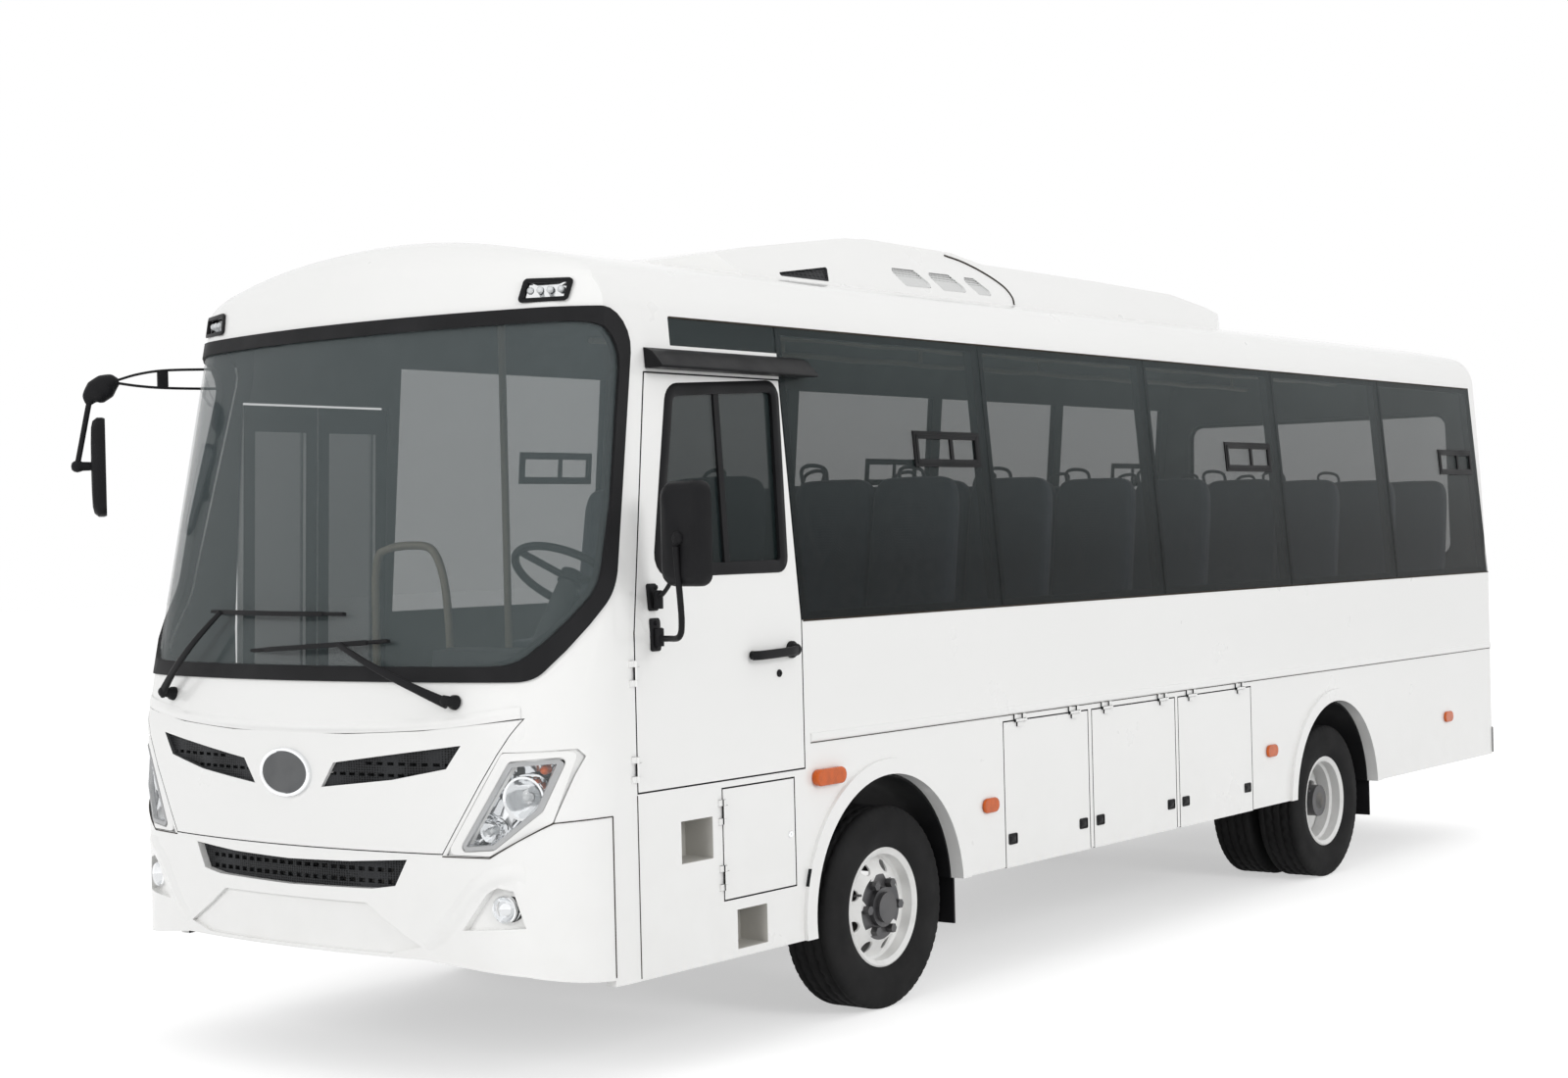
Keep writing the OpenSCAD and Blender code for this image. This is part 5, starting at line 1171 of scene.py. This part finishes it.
# %% Corner mirror arm, knuckle and head
ARM_FOOT, ARM_TURN = np.array([3.579, -1.071, 0.0]), math.radians(-25)
UPPER_BAR = [[0.0, 2.604], [0.15, 2.603], [0.30, 2.597], [0.40, 2.581], [0.483, 2.556]]
LOWER_BAR = [[0.0, 2.528], [0.15, 2.526], [0.30, 2.528], [0.40, 2.535], [0.483, 2.546]]
STRUT = [[0.280, 2.528], [0.322, 2.528], [0.322, 2.596], [0.280, 2.598]]
FOOT = [(1.0, 0.0004), (1.0, 0.008), (0.92, 0.012), (0, 0.012)]
KNUCKLE = [[4.010, -1.272, 2.553], [4.035, -1.284, 2.545], [4.062, -1.296, 2.528], [4.088, -1.310, 2.508],
           [4.104, -1.324, 2.488], [4.112, -1.330, 2.462]]
KNUCKLE_FAT = ([0, 0.12, 0.35, 0.6, 0.85, 1.0], [0.014, 0.032, 0.050, 0.050, 0.030, 0.012])
DROP_ROD = [[4.108, -1.327, 2.475], [4.122, -1.334, 2.40], [4.142, -1.344, 2.29], [4.155, -1.350, 2.222]]
ROD_END = [(0, -0.024), (0.014, -0.021), (0.021, -0.012), (0.024, 0.0), (0.021, 0.012), (0.018, 0.020),
           (0.017, 0.050), (0.017, 0.075), (0, 0.076)]


def lump(points, widths, count, flat):
    """A fat knuckle: a ring square to a smooth spine, as wide as the widths say along it, and flattened
    sideways by a share."""
    spine = smooth_path(points, count)
    fat = np.interp(np.linspace(0, 1, count), *widths)
    ring = circle(1.0, 22)
    way = unit(np.gradient(spine, axis=0))
    side_way = unit(np.cross(way, [0, 0, 1.0]))
    top_way = np.cross(side_way, way)
    section = flat * ring[None, :, :1] * side_way[:, None] + ring[None, :, 1:] * top_way[:, None]
    return shell(spine[:, None] + fat[:, None, None] * section, close_columns=True, caps=True)


along = np.array([math.cos(ARM_TURN), math.sin(ARM_TURN), 0.0])
across = np.array([-math.sin(ARM_TURN), math.cos(ARM_TURN), 0.0])
place = placed(ARM_FOOT, along, (0, 0, 1), across)
shells = []
for bar in (UPPER_BAR, LOWER_BAR):
    line = smooth_path(bar, 30)
    path = place(line[:, 0], line[:, 1], np.zeros(len(line)))
    shells.append(swept(path, rectangle(0.016, 0.010, 0.004)))
shells.append(slab(rounded(STRUT, 0.008), -0.007, 0.007, place))
shells.append(dished(rectangle(0.034, 0.150, 0.010) + [3.579, 2.565], FOOT, on_side(RIGHT)))
shells.append(lump(KNUCKLE, KNUCKLE_FAT, 28, 0.7))
shells.append(swept(smooth_path(DROP_ROD, 24), circle(0.011), up=AHEAD))
shells.append(turned(ROD_END, (4.155, -1.350, 2.218), (-0.82, 0.55, 0), 30))
made = piece("corner_mirror_arm", shells, COACH, BLACK_PLASTIC, smooth=50)
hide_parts("corner_mirror")
case, glass = mirror_head((4.066, -1.335, 2.214), math.radians(-37), 0.190, 0.390, 0.056)
piece("corner_mirror_shell", case, COACH, BLACK_PLASTIC, smooth=50)
piece("corner_mirror_glass", glass, COACH, MIRROR_GLASS, smooth=50)

# %% [markdown]
# ## The roof unit
# The cooling unit keeps its solid. What it still needs are the openings that give it scale: a dark
# three-cornered intake on each flank, three punched panels behind it and the seam where the front shroud
# ends. Flank pieces follow the unit's own plan and section.

# %% Intakes, punched panels and seams
INTAKE = [[1.884, 2.996], [2.360, 2.930], [1.924, 2.930]]
PANELS = ([[1.330, 2.952], [1.407, 3.032], [1.210, 3.034], [1.095, 2.956]],
          [[1.035, 2.952], [1.122, 3.032], [0.931, 3.034], [0.811, 2.956]],
          [[0.742, 2.952], [0.839, 3.032], [0.723, 3.032], [0.600, 2.954]])
SEAM = [[0.875, 3.130], [0.740, 3.108], [0.596, 3.064], [0.490, 3.010], [0.462, 2.960], [0.480, 2.922]]
INTAKE_DISH = [(1.0, 0.0005), (0.985, -0.002), (0.97, -0.010), (0, -0.010)]
PANEL_DISH = [(1.0, 0.0005), (0.985, -0.002), (0.95, -0.008), (0, -0.008)]


def unit_y(x, z):
    """Half-width of the roof unit: the smaller of its plan and its leaning flank."""
    x, z = np.asarray(x, float), np.asarray(z, float)
    plan = np.interp(x, [-1.86, -1.50, 2.45, 2.96], [0.56, 0.722, 0.722, 0.52])
    flank = np.interp(z, [2.70, 2.89, 3.21], [0.725, 0.715, 0.53])
    return np.minimum(plan, flank)


def on_unit(side):
    """Puts (x, z, height) on a flank of the roof unit."""
    return lambda x, z, h: np.stack([x, side * (unit_y(x, z) + h), z], -1)


intakes, punched, seams = [], [], []
for side in (LEFT, RIGHT):
    place = on_unit(side)
    intakes.append(dished(rounded(INTAKE, [0.006, 0.008, 0.008]), INTAKE_DISH, place))
    punched += [dished(rounded(corners, 0.016), PANEL_DISH, place) for corners in PANELS]
    line = smooth_path(SEAM, 30)
    path = place(line[:, 0], line[:, 1], np.full(30, 0.001))
    seams.append(swept(path, circle(0.0045, 8), up=(0, side, 0.3)))
piece("roof_unit_intakes", intakes, COACH, MESH_BLACK, smooth=40)
piece("roof_unit_panels", punched, COACH, PERFORATED, smooth=40)
piece("roof_unit_seams", seams, COACH, SEALANT, smooth=60)

# %% [markdown]
# ### Fan guards
# Two fans blow out of the unit's lower rear part. From below nobody sees them, but from a bridge they are
# what one looks at: four wire rings and a rim over a dark well with a hub.

# %% Fan guards and wells
UNIT_TOP = np.array([[-1.561, 3.040], [-1.229, 3.089], [-0.452, 3.104], [0.580, 3.111], [0.706, 3.131],
                     [0.800, 3.148], [1.449, 3.156], [1.644, 3.144], [2.960, 2.942]])
FANS_X, WIRE_RINGS = (0.15, -0.65), (0.06, 0.11, 0.16, 0.205)
FAN_RIM = [(0.215, -0.02), (0.215, 0.016), (0.222, 0.020), (0.232, 0.018), (0.240, -0.01)]
FAN_WELL = [(0.20, 0.004), (0.05, 0.004), (0.05, 0.010), (0.03, 0.016), (0, 0.017)]
a = np.linspace(0, 2 * np.pi, 40, endpoint=False)
guards, wells = [], []
for x in FANS_X:
    z = float(np.interp(x, UNIT_TOP[:, 0], UNIT_TOP[:, 1]))
    for r in WIRE_RINGS:
        path = np.stack([x + r * np.cos(a), r * np.sin(a), np.full(40, z + 0.012)], -1)
        guards.append(swept(path, circle(0.0035, 8), closed=True))
    guards.append(turned(FAN_RIM, (x, 0, z), (0, 0, 1), 48))
    wells.append(turned(FAN_WELL, (x, 0, z), (0, 0, 1), 40))
piece("roof_fan_guards", guards, COACH, BLACK_PLASTIC, smooth=60)
piece("roof_fan_wells", wells, COACH, MESH_BLACK, smooth=40)

# %% [markdown]
# ## Wipers
# Each wiper is a spindle, a tapering arm and a blade of rubber on a sprung bar. The paths follow the
# bowed screen, so the blades lie on the glass instead of cutting into it.

# %% Wiper arms and blades
WIPERS = (((0.745, 1.343), (0.252, 1.539), ((0.450, 1.550), (-0.220, 1.512))),
          ((-0.735, 1.343), (-0.408, 1.650), ((-0.505, 1.650), (0.232, 1.643))))
SPINDLE = [(0.026, 0.0), (0.024, 0.014), (0.018, 0.020), (0.018, 0.058), (0.013, 0.064), (0, 0.065)]


def wiper_arm(start, end, count=24):
    """An arm between two points of (y, z): its height over the glass swells as a half sine, and its
    rounded section tapers towards the blade."""
    t = np.linspace(0, 1, count)
    y, z = (a + (b - a) * t for a, b in zip(start, end))
    height = 0.050 + 0.020 * np.sin(np.pi * t)
    path = on_nose(y, z, height)
    wide = np.interp(t, [0, 0.25, 1], [0.018, 0.014, 0.010])
    out = unit(on_nose(y, z, height + 0.01) - path)
    across = np.cross(unit(np.gradient(path, axis=0)), out)
    box = rectangle(1.0, 1.0, 0.25, 3)
    section = 2 * box[None, :, :1] * across[:, None] + box[None, :, 1:] * out[:, None]
    return shell(path[:, None] + wide[:, None, None] * section, close_columns=True, caps=True)


def wiper_blade(start, end, count=40):
    """A rubber strip on the glass, and a bar over it that is sprung up as a half sine."""
    t = np.linspace(0, 1, count)
    y, z = (a + (b - a) * t for a, b in zip(start, end))
    rubber = on_nose(y, z, np.full(count, 0.019))
    bow = 0.030 + 0.020 * np.sin(np.pi * np.linspace(0, 1, count - 10))
    spring = on_nose(y[5:-5], z[5:-5], bow)
    return [swept(rubber, rectangle(0.012, 0.020, 0.003), up=LEANING_OUT),
            swept(spring, rectangle(0.018, 0.006, 0.002), up=LEANING_OUT)]


arms, blades = [], []
for pivot, joint, ends in WIPERS:
    arms.append(wiper_arm(pivot, joint))
    arms.append(turned(SPINDLE, spot(on_nose, *pivot, 0.0), LEANING_OUT, 28))
    blades += wiper_blade(*ends)
made = piece("wiper_arms", arms, COACH, BLACK_PLASTIC, smooth=50)
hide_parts("wipers")
piece("wiper_blades", blades, COACH, SEAL_RUBBER, smooth=50)

# %% [markdown]
# ## Seats
# A coach seat is foam under a sewn cover: full in the middle, drawn in along its seams. Each pad is a
# rounded block, the surface of a ball with its coordinates raised to a power so that it squares up. A
# crown is added to the sitting face and narrow grooves are pressed in along the seams. A cloth simulation
# could do this too, but a formula gives the same pad every time.

# %% The form of a pad
SQUARE_PLAN, SQUARE_SIDE = 0.28, 0.42
SEAM_WIDTH, SEAM_DEPTH = 0.012, 0.009


def squared(v, power):
    """A value from -1 to 1, raised to a power with its sign kept."""
    return np.sign(v) * np.abs(v) ** power


def pad(length, width, thick, crown, seams_across, seams_along, rows=22, columns=36):
    """A pad: a ball squared up by a power of its coordinates, its top crowned as the product of two
    parabolas, and each seam pressed in by a narrow bell curve."""
    a = np.linspace(-np.pi / 2, np.pi / 2, rows)[:, None]
    b = np.linspace(-np.pi, np.pi, columns, endpoint=False)[None]
    x = squared(np.cos(a), SQUARE_PLAN) * squared(np.cos(b), SQUARE_PLAN)
    y = squared(np.cos(a), SQUARE_PLAN) * squared(np.sin(b), SQUARE_PLAN)
    z = np.broadcast_to(squared(np.sin(a), SQUARE_SIDE), x.shape)
    upper = np.clip(z, 0, 1)
    rise = crown * (1 - x**2) * (1 - y**2) * upper
    groove = sum(np.exp(-(((x - s) * length / 2 / SEAM_WIDTH) ** 2)) for s in seams_across)
    groove = groove + sum(np.exp(-(((y - s) * width / 2 / SEAM_WIDTH) ** 2)) for s in seams_along)
    rise = rise - SEAM_DEPTH * np.clip(groove, 0, 1) * upper
    return np.stack([x * length / 2, y * width / 2, z * thick / 2 + rise], -1)


def copied(points, places):
    """The same grid at several places."""
    return [shell(points + np.asarray(place), close_columns=True) for place in places]


def leaned(points, angle):
    """A grid turned about y, so that its top face looks forward and up."""
    c, s = math.cos(angle), math.sin(angle)
    x, y, z = points[..., 0], points[..., 1], points[..., 2]
    return np.stack([x * c + z * s, y, -x * s + z * c], -1)


print("pad helpers ready")

# %% [markdown]
# ### Rows of seats
# Eight rows of pairs stand on the floor, and the driver's seat stands alone ahead of them. One pad is
# worked out once and copied to every place by array arithmetic.

# %% Cushions and backs in their rows
INNER_FLOOR, SEAT_STEP, PAIR_AT = 1.000, 0.428, 0.615
ROWS = [1.880, 1.120, 0.360, -0.400, -1.160, -1.920, -2.680, -3.440]
LEAN_BACK, BACK_Z = math.radians(81.5), INNER_FLOOR + 0.735
lateral = [side * PAIR_AT + d * SEAT_STEP / 2 for side in (LEFT, RIGHT) for d in (-1, 1)]
cushion = pad(0.450, 0.418, 0.100, 0.012, (0.55,), (-0.62, 0.62))
back = leaned(pad(0.770, 0.416, 0.090, 0.012, (-0.62, 0.15), (-0.62, 0.62)), LEAN_BACK)
cushion_spots = [(x + 0.010, y, INNER_FLOOR + 0.392) for x in ROWS for y in lateral]
back_spots = [(x - 0.318, y, BACK_Z) for x in ROWS for y in lateral]
driver_cushion = pad(0.460, 0.476, 0.110, 0.014, (0.55,), (-0.66, 0.66))
driver_back = leaned(pad(0.770, 0.470, 0.100, 0.016, (-0.62, 0.2), (-0.66, 0.66)), LEAN_BACK)
driver_pads = copied(driver_cushion, [(3.010, 0.640, INNER_FLOOR + 0.396)])
driver_pads += copied(driver_back, [(2.684, 0.640, BACK_Z)])
PADS = (("passenger_cushions", copied(cushion, cushion_spots), 0.8),
        ("passenger_backs", copied(back, back_spots), 0.75), ("driver_seat_pads", driver_pads, 0.8))
for name, shells, fill in PADS:
    made = piece(name, shells, COACH, SEAT_CLOTH, smooth=75)
    if name == "passenger_cushions":
        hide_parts("seats")

# %% [markdown]
# ### Seat frames
# Under each pair of seats lies a tray on two bent tube legs, and a looped handle stands on the aisle
# corner of each back. All are tubes along smooth paths. The driver's seat has a narrower frame.

# %% Trays, legs and handles
DRIVER_AT = (3.000, 0.640)
LEG = [(-0.150, 0.002), (-0.140, 0.20), (-0.110, 0.305), (0.0, 0.318), (0.110, 0.305), (0.140, 0.20),
       (0.150, 0.002)]
HANDLE = [(-0.352, 0.055, 2.085), (-0.372, 0.030, 2.165), (-0.380, 0.075, 2.185), (-0.382, 0.150, 2.165),
          (-0.368, 0.170, 2.085)]


def flat_place(x, y, z):
    """Puts (x, y, height) where it says."""
    return np.stack([x, y, z], -1)


def seat_frame(x, y, half, leg_gap):
    """A seat's frame: a tray under the cushions and two bent tube legs."""
    tray = rectangle(0.50, 2 * half - 0.06, 0.02) + [x - 0.050, y]
    made = [slab(tray, INNER_FLOOR + 0.312, INNER_FLOOR + 0.337, flat_place)]
    for dy in (-leg_gap, leg_gap):
        hoop = smooth_path([[x + dx, y + dy, INNER_FLOOR + dz] for dx, dz in LEG], 34)
        made.append(swept(hoop, circle(0.017, 10), up=SIDEWAYS))
    return made


frames = [s for x in ROWS for side in (LEFT, RIGHT) for s in seat_frame(x, side * PAIR_AT, 0.42, 0.27)]
for x in ROWS:
    for side in (LEFT, RIGHT):
        aisle = side * (PAIR_AT - SEAT_STEP)
        loop = smooth_path([[x + dx, aisle + side * dy, z] for dx, dy, z in HANDLE], 22)
        frames.append(swept(loop, circle(0.009, 8), up=AHEAD))
frames += seat_frame(*DRIVER_AT, 0.22, 0.14)
piece("seat_frames", frames, COACH, STUD_STEEL, smooth=50)

# %% [markdown]
# ## The cab
# Through the windscreen one sees the top of the dashboard, the steering wheel and a beige rail that
# guards the engine hump. The rails are simple sweeps, but without them the glass would look onto nothing.

# %% Hand rails
GUARD_X = 3.50
GUARD = [[-0.38, 1.02], [-0.38, 1.50], [-0.37, 1.80], [-0.30, 1.865], [-0.12, 1.875], [-0.045, 1.84],
         [0.0, 1.73], [0.02, 1.55], [0.02, 1.345]]
POLE_X, POLE_Y, POLE_FOOT = 2.70, -0.44, 1.002
RAIL_Y, RAIL_Z = 0.30, 2.735


def upright_tube(x, y, z0, z1, radius, count, sides):
    """A straight tube from one height to another."""
    path = np.stack([np.full(count, x), np.full(count, y), np.linspace(z0, z1, count)], -1)
    return swept(path, circle(radius, sides), up=AHEAD)


def ceiling(y):
    """The lining's height at a distance from the middle, less a small gap."""
    return roof_z(y) - WALL - 0.002


guard = smooth_path([[GUARD_X, y, z] for y, z in GUARD], 60)
rails = [swept(guard, circle(0.016, 12), up=AHEAD),
         upright_tube(POLE_X, POLE_Y, POLE_FOOT, ceiling(-POLE_Y), 0.016, 12, 12)]
for side in (LEFT, RIGHT):
    x = np.linspace(-3.9, 2.3, 40)
    run = np.stack([x, np.full(40, side * RAIL_Y), np.full(40, RAIL_Z) + 0.004 * np.cos(x * 9)], -1)
    rails.append(swept(run, circle(0.014, 10)))
    rails += [upright_tube(hanger, side * RAIL_Y, RAIL_Z, ceiling(RAIL_Y), 0.009, 6, 8)
              for hanger in np.linspace(-3.7, 2.1, 6)]
piece("hand_rails", rails, COACH, BEIGE_RAIL, smooth=60)

# %% [markdown]
# ## The tail
# The photograph doesn't show it, so it follows what such coaches have: a rear window in a rubber gasket,
# tail lamps in three fields, and a boot lid with a handle and a blank plate. The tail is bowed in plan,
# and everything on it is placed by the same arc.

# %% Rear window gasket and tail lamps
TAIL_RADIUS = 9.0
REAR_WINDOW = [[-0.900, 1.650], [0.900, 1.650], [0.880, 2.540], [-0.880, 2.540]]
GASKET = [(-0.022, -0.004), (-0.020, 0.002), (0.0, 0.007), (0.020, 0.004), (0.022, -0.002)]
FIELDS = {"tail_lamp_red": (RED_LENS, "red_lens", 0.900, 1.045),
          "tail_lamp_amber": (AMBER_LENS, "amber_lens", 1.050, 1.190),
          "tail_lamp_clear": (WHITE_LENS, "clear_lens", 1.195, 1.340)}
FIELD_DOME = [(1.0, 0.004), (0.99, 0.012), (0.93, 0.018), (0.5, 0.021), (0, 0.022)]
TAIL_LAMP = [[0.886, 0.894], [1.004, 0.894], [1.004, 1.346], [0.886, 1.346]]
TAIL_FRAME = [(-0.010, -0.001), (-0.010, 0.010), (-0.002, 0.012), (0.006, 0.006), (0.006, -0.001)]


def tail_x(y):
    """The tail's line in plan: one wide arc."""
    return TAIL + TAIL_RADIUS - np.sqrt(TAIL_RADIUS**2 - np.asarray(y, float) ** 2)


def on_tail(y, z, h):
    """Puts (y, z, height) on the upright tail."""
    return np.stack(np.broadcast_arrays(tail_x(y) - h, y, z), -1)


line = rounded(REAR_WINDOW, 0.090, 8)
dense = np.concatenate([np.linspace(a, b, 12, endpoint=False) for a, b in zip(line, np.roll(line, -1, 0))])
gasket = band(dense, GASKET, on_tail)
piece("rear_window_gasket", gasket, COACH, SEAL_RUBBER, smooth=60)
for name, (material, slot, z0, z1) in FIELDS.items():
    field = rectangle(0.100, z1 - z0 - 0.006, 0.010)
    shells = [dished(field + [side * 0.945, (z0 + z1) / 2], FIELD_DOME, on_tail) for side in (LEFT, RIGHT)]
    piece(name, shells, COACH, material, smooth=60)
lamp_line = rounded(TAIL_LAMP, 0.014)
frames = [band(flipped(lamp_line, side), TAIL_FRAME, on_tail) for side in (LEFT, RIGHT)]
piece("tail_lamp_frames", frames, COACH, BLACK_PLASTIC, smooth=40)

# %% [markdown]
# ### The boot lid's fittings
# The lid carries a blank plate, a handle bar and two round locks. They ride on the lid's body, so they
# lift with it.

# %% Plate, handle and locks
PLATE = [(1.0, 0.0), (1.0, 0.004), (0.985, 0.006), (0, 0.006)]
BAR = [(1.0, 0.0), (1.0, 0.012), (0.9, 0.020), (0, 0.021)]
BOOT_LOCK = [(0.016, -0.001), (0.016, 0.006), (0.011, 0.010), (0, 0.010)]
PLATE_Z, BAR_Z = 0.800, 0.930
shells = [dished(rectangle(0.520, 0.120, 0.008) + [0.0, PLATE_Z], PLATE, on_tail)]
piece("boot_blank_plate", shells, "boot", POCKET_GREY, smooth=40)
shells = [dished(rectangle(0.300, 0.034, 0.012) + [0.0, BAR_Z], BAR, on_tail)]
shells += [turned(BOOT_LOCK, spot(on_tail, y, BAR_Z, 0.0), (-1, 0, 0), 24) for y in (-0.25, 0.25)]
piece("boot_handle", shells, "boot", BLACK_PLASTIC, smooth=45)

# %% [markdown]
# ## Tyre valves
# A thin valve stem comes out between the hand holes of each rim. It is tiny, but it turns with the wheel
# and shows that the wheel turns.

# %% Valve stems
VALVE_FOOT = (0.150, -0.055, 0.062)
VALVE_BENDS = ((0.0, 0.0, 0.0), (0.012, 0.020, 0.004), (0.018, 0.044, 0.006))
for node in ("rim_front_left", "rim_front_right", "rims_rear_left", "rims_rear_right"):
    low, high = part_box(node)
    side = LEFT if "left" in node else RIGHT
    x, z = (low.x + high.x) / 2, (low.z + high.z) / 2
    face = max(abs(low.y), abs(high.y))
    start = np.array([x + VALVE_FOOT[0], side * (face + VALVE_FOOT[1]), z + VALVE_FOOT[2]])
    path = smooth_path([start + [dx, side * dy, dz] for dx, dy, dz in VALVE_BENDS], 14)
    stem = [swept(path, circle(0.0055, 10))]
    piece(f"{node}_valve", stem, BODY_OF[node], STUD_STEEL, smooth=60)

# %% [markdown]
# ## Camera, floor and light
# The camera stands where the photograph's did. Its place, its three turns and its focal length were
# worked out from the coach's own lines, so render and photograph can be laid over each other.

# %% Camera
FOCAL_PIXELS, FRAME_PIXELS, SENSOR = 2446.0, 1600.0, 36.0
YAW, PITCH, ROLL = math.radians(37.26), math.radians(-0.09), math.radians(-1.37)
CAMERA_AT = Vector((9.966, 6.544, 1.882))
forward = Vector((-math.cos(YAW) * math.cos(PITCH), -math.sin(YAW) * math.cos(PITCH), math.sin(PITCH)))
level_right = Vector((-math.sin(YAW), math.cos(YAW), 0))
level_up = level_right.cross(forward)
right = math.cos(ROLL) * level_right + math.sin(ROLL) * level_up
up = math.cos(ROLL) * level_up - math.sin(ROLL) * level_right
lens = bpy.data.cameras.new("camera")
lens.lens, lens.sensor_width = FOCAL_PIXELS / FRAME_PIXELS * SENSOR, SENSOR
lens.clip_end = 200
camera = bpy.data.objects.new("camera", lens)
camera.matrix_world = Matrix((right, up, -forward)).transposed().to_4x4()
camera.location = CAMERA_AT
bpy.context.scene.collection.objects.link(camera)
bpy.context.scene.camera = camera
print(f"camera: {lens.lens:.1f} mm lens at {tuple(round(v, 2) for v in CAMERA_AT)}")

# %% [markdown]
# ### The floor
# The floor is nearly white and has to meet the sky without a line. Stronger lamps would do that, but they
# would also bleach the coach. So the floor glows a little, and only for rays that see it as background.
# The light that it throws up on the coach stays that of a plain pale floor.

# %% Pale floor
FLOOR_SIZE, FLOOR_STEPS, FLOOR_LIFT = 60.0, 9, 0.50


def background_rays(tree):
    """One for rays that see the plain background: the camera's own, let-through and mirrored ones."""
    path = tree.nodes.new("ShaderNodeLightPath")
    seen = path.outputs["Is Camera Ray"]
    for ray in ("Is Transmission Ray", "Is Glossy Ray"):
        either = tree.nodes.new("ShaderNodeMath")
        either.operation = "MAXIMUM"
        tree.links.new(seen, either.inputs[0])
        tree.links.new(path.outputs[ray], either.inputs[1])
        seen = either.outputs["Value"]
    return seen


floor_finish = finish("pale_floor", (0.80, 0.80, 0.80), 0.9, Specular_IOR_Level=0.0)
patches = remapped(floor_finish, clouds(floor_finish, 0.4, 2), 0.3, 0.8, 0, 0.3)
tinted(floor_finish, patches, (0.78, 0.78, 0.78))
shader_of(floor_finish).inputs["Emission Color"].default_value = (1, 1, 1, 1)
lift = remapped(floor_finish, background_rays(floor_finish.node_tree), 0, 1, 0, FLOOR_LIFT)
link(floor_finish, lift, shader_of(floor_finish).inputs["Emission Strength"])
u = np.linspace(-FLOOR_SIZE, FLOOR_SIZE, FLOOR_STEPS)
points = np.stack([*np.meshgrid(u, u, indexing="ij"), np.zeros((FLOOR_STEPS, FLOOR_STEPS))], -1)
vertices, groups = shell(points)
floor_mesh = bpy.data.meshes.new("pale_floor")
floor_mesh.from_pydata(vertices.tolist(), [], groups[0].tolist())
floor_mesh.materials.append(floor_finish)
floor = bpy.data.objects.new("pale_floor", floor_mesh)
bpy.context.scene.collection.objects.link(floor)
print(f"floor: {2 * FLOOR_SIZE:.0f} m square")

# %% [markdown]
# ### Sky and soft lamps
# A bright sky lights paint from everywhere. An even world does that part, a little weaker on the coach
# than what the camera sees of it. Broad soft lamps to the left, ahead and behind give the sides their
# different tones, which a world alone would make flat.

# %% World and lamps
WORLD_LIGHT = 0.68
world = bpy.data.worlds.new("studio")
world.use_nodes = True
bpy.context.scene.world = world
nodes, links = world.node_tree.nodes, world.node_tree.links
background = nodes["Background"]
background.inputs["Color"].default_value = (1, 1, 1, 1)
strength = nodes.new("ShaderNodeMapRange")
strength.inputs["To Min"].default_value = WORLD_LIGHT
strength.inputs["To Max"].default_value = 1.0
links.new(background_rays(world.node_tree), strength.inputs["Value"])
links.new(strength.outputs["Result"], background.inputs["Strength"])


def soft_lamp(name, at, towards, size, power):
    """A square area lamp that looks at a point. Its own mirror image is hidden, so that gloss shows
    only the plain background."""
    data = bpy.data.lights.new(name, "AREA")
    data.shape, data.size, data.energy = "SQUARE", size, power
    lamp = bpy.data.objects.new(name, data)
    lamp.location = at
    lamp.rotation_mode = "QUATERNION"
    lamp.rotation_quaternion = (Vector(towards) - Vector(at)).to_track_quat("-Z", "Y")
    lamp.visible_glossy = False
    bpy.context.scene.collection.objects.link(lamp)
    print(f"{name}: {power} W, {size:.0f} m wide")


soft_lamp("sky_left", (4, 22, 10), (-0.5, 0, 1.5), 9.0, 1480)
soft_lamp("sky_front", (24, 0, 10), (0, 0, 1.5), 9.0, 1400)
soft_lamp("sky_rear", (-16, -12, 8), (-1, 0, 1.5), 8.0, 600)
bpy.context.scene.view_settings.view_transform = "Standard"
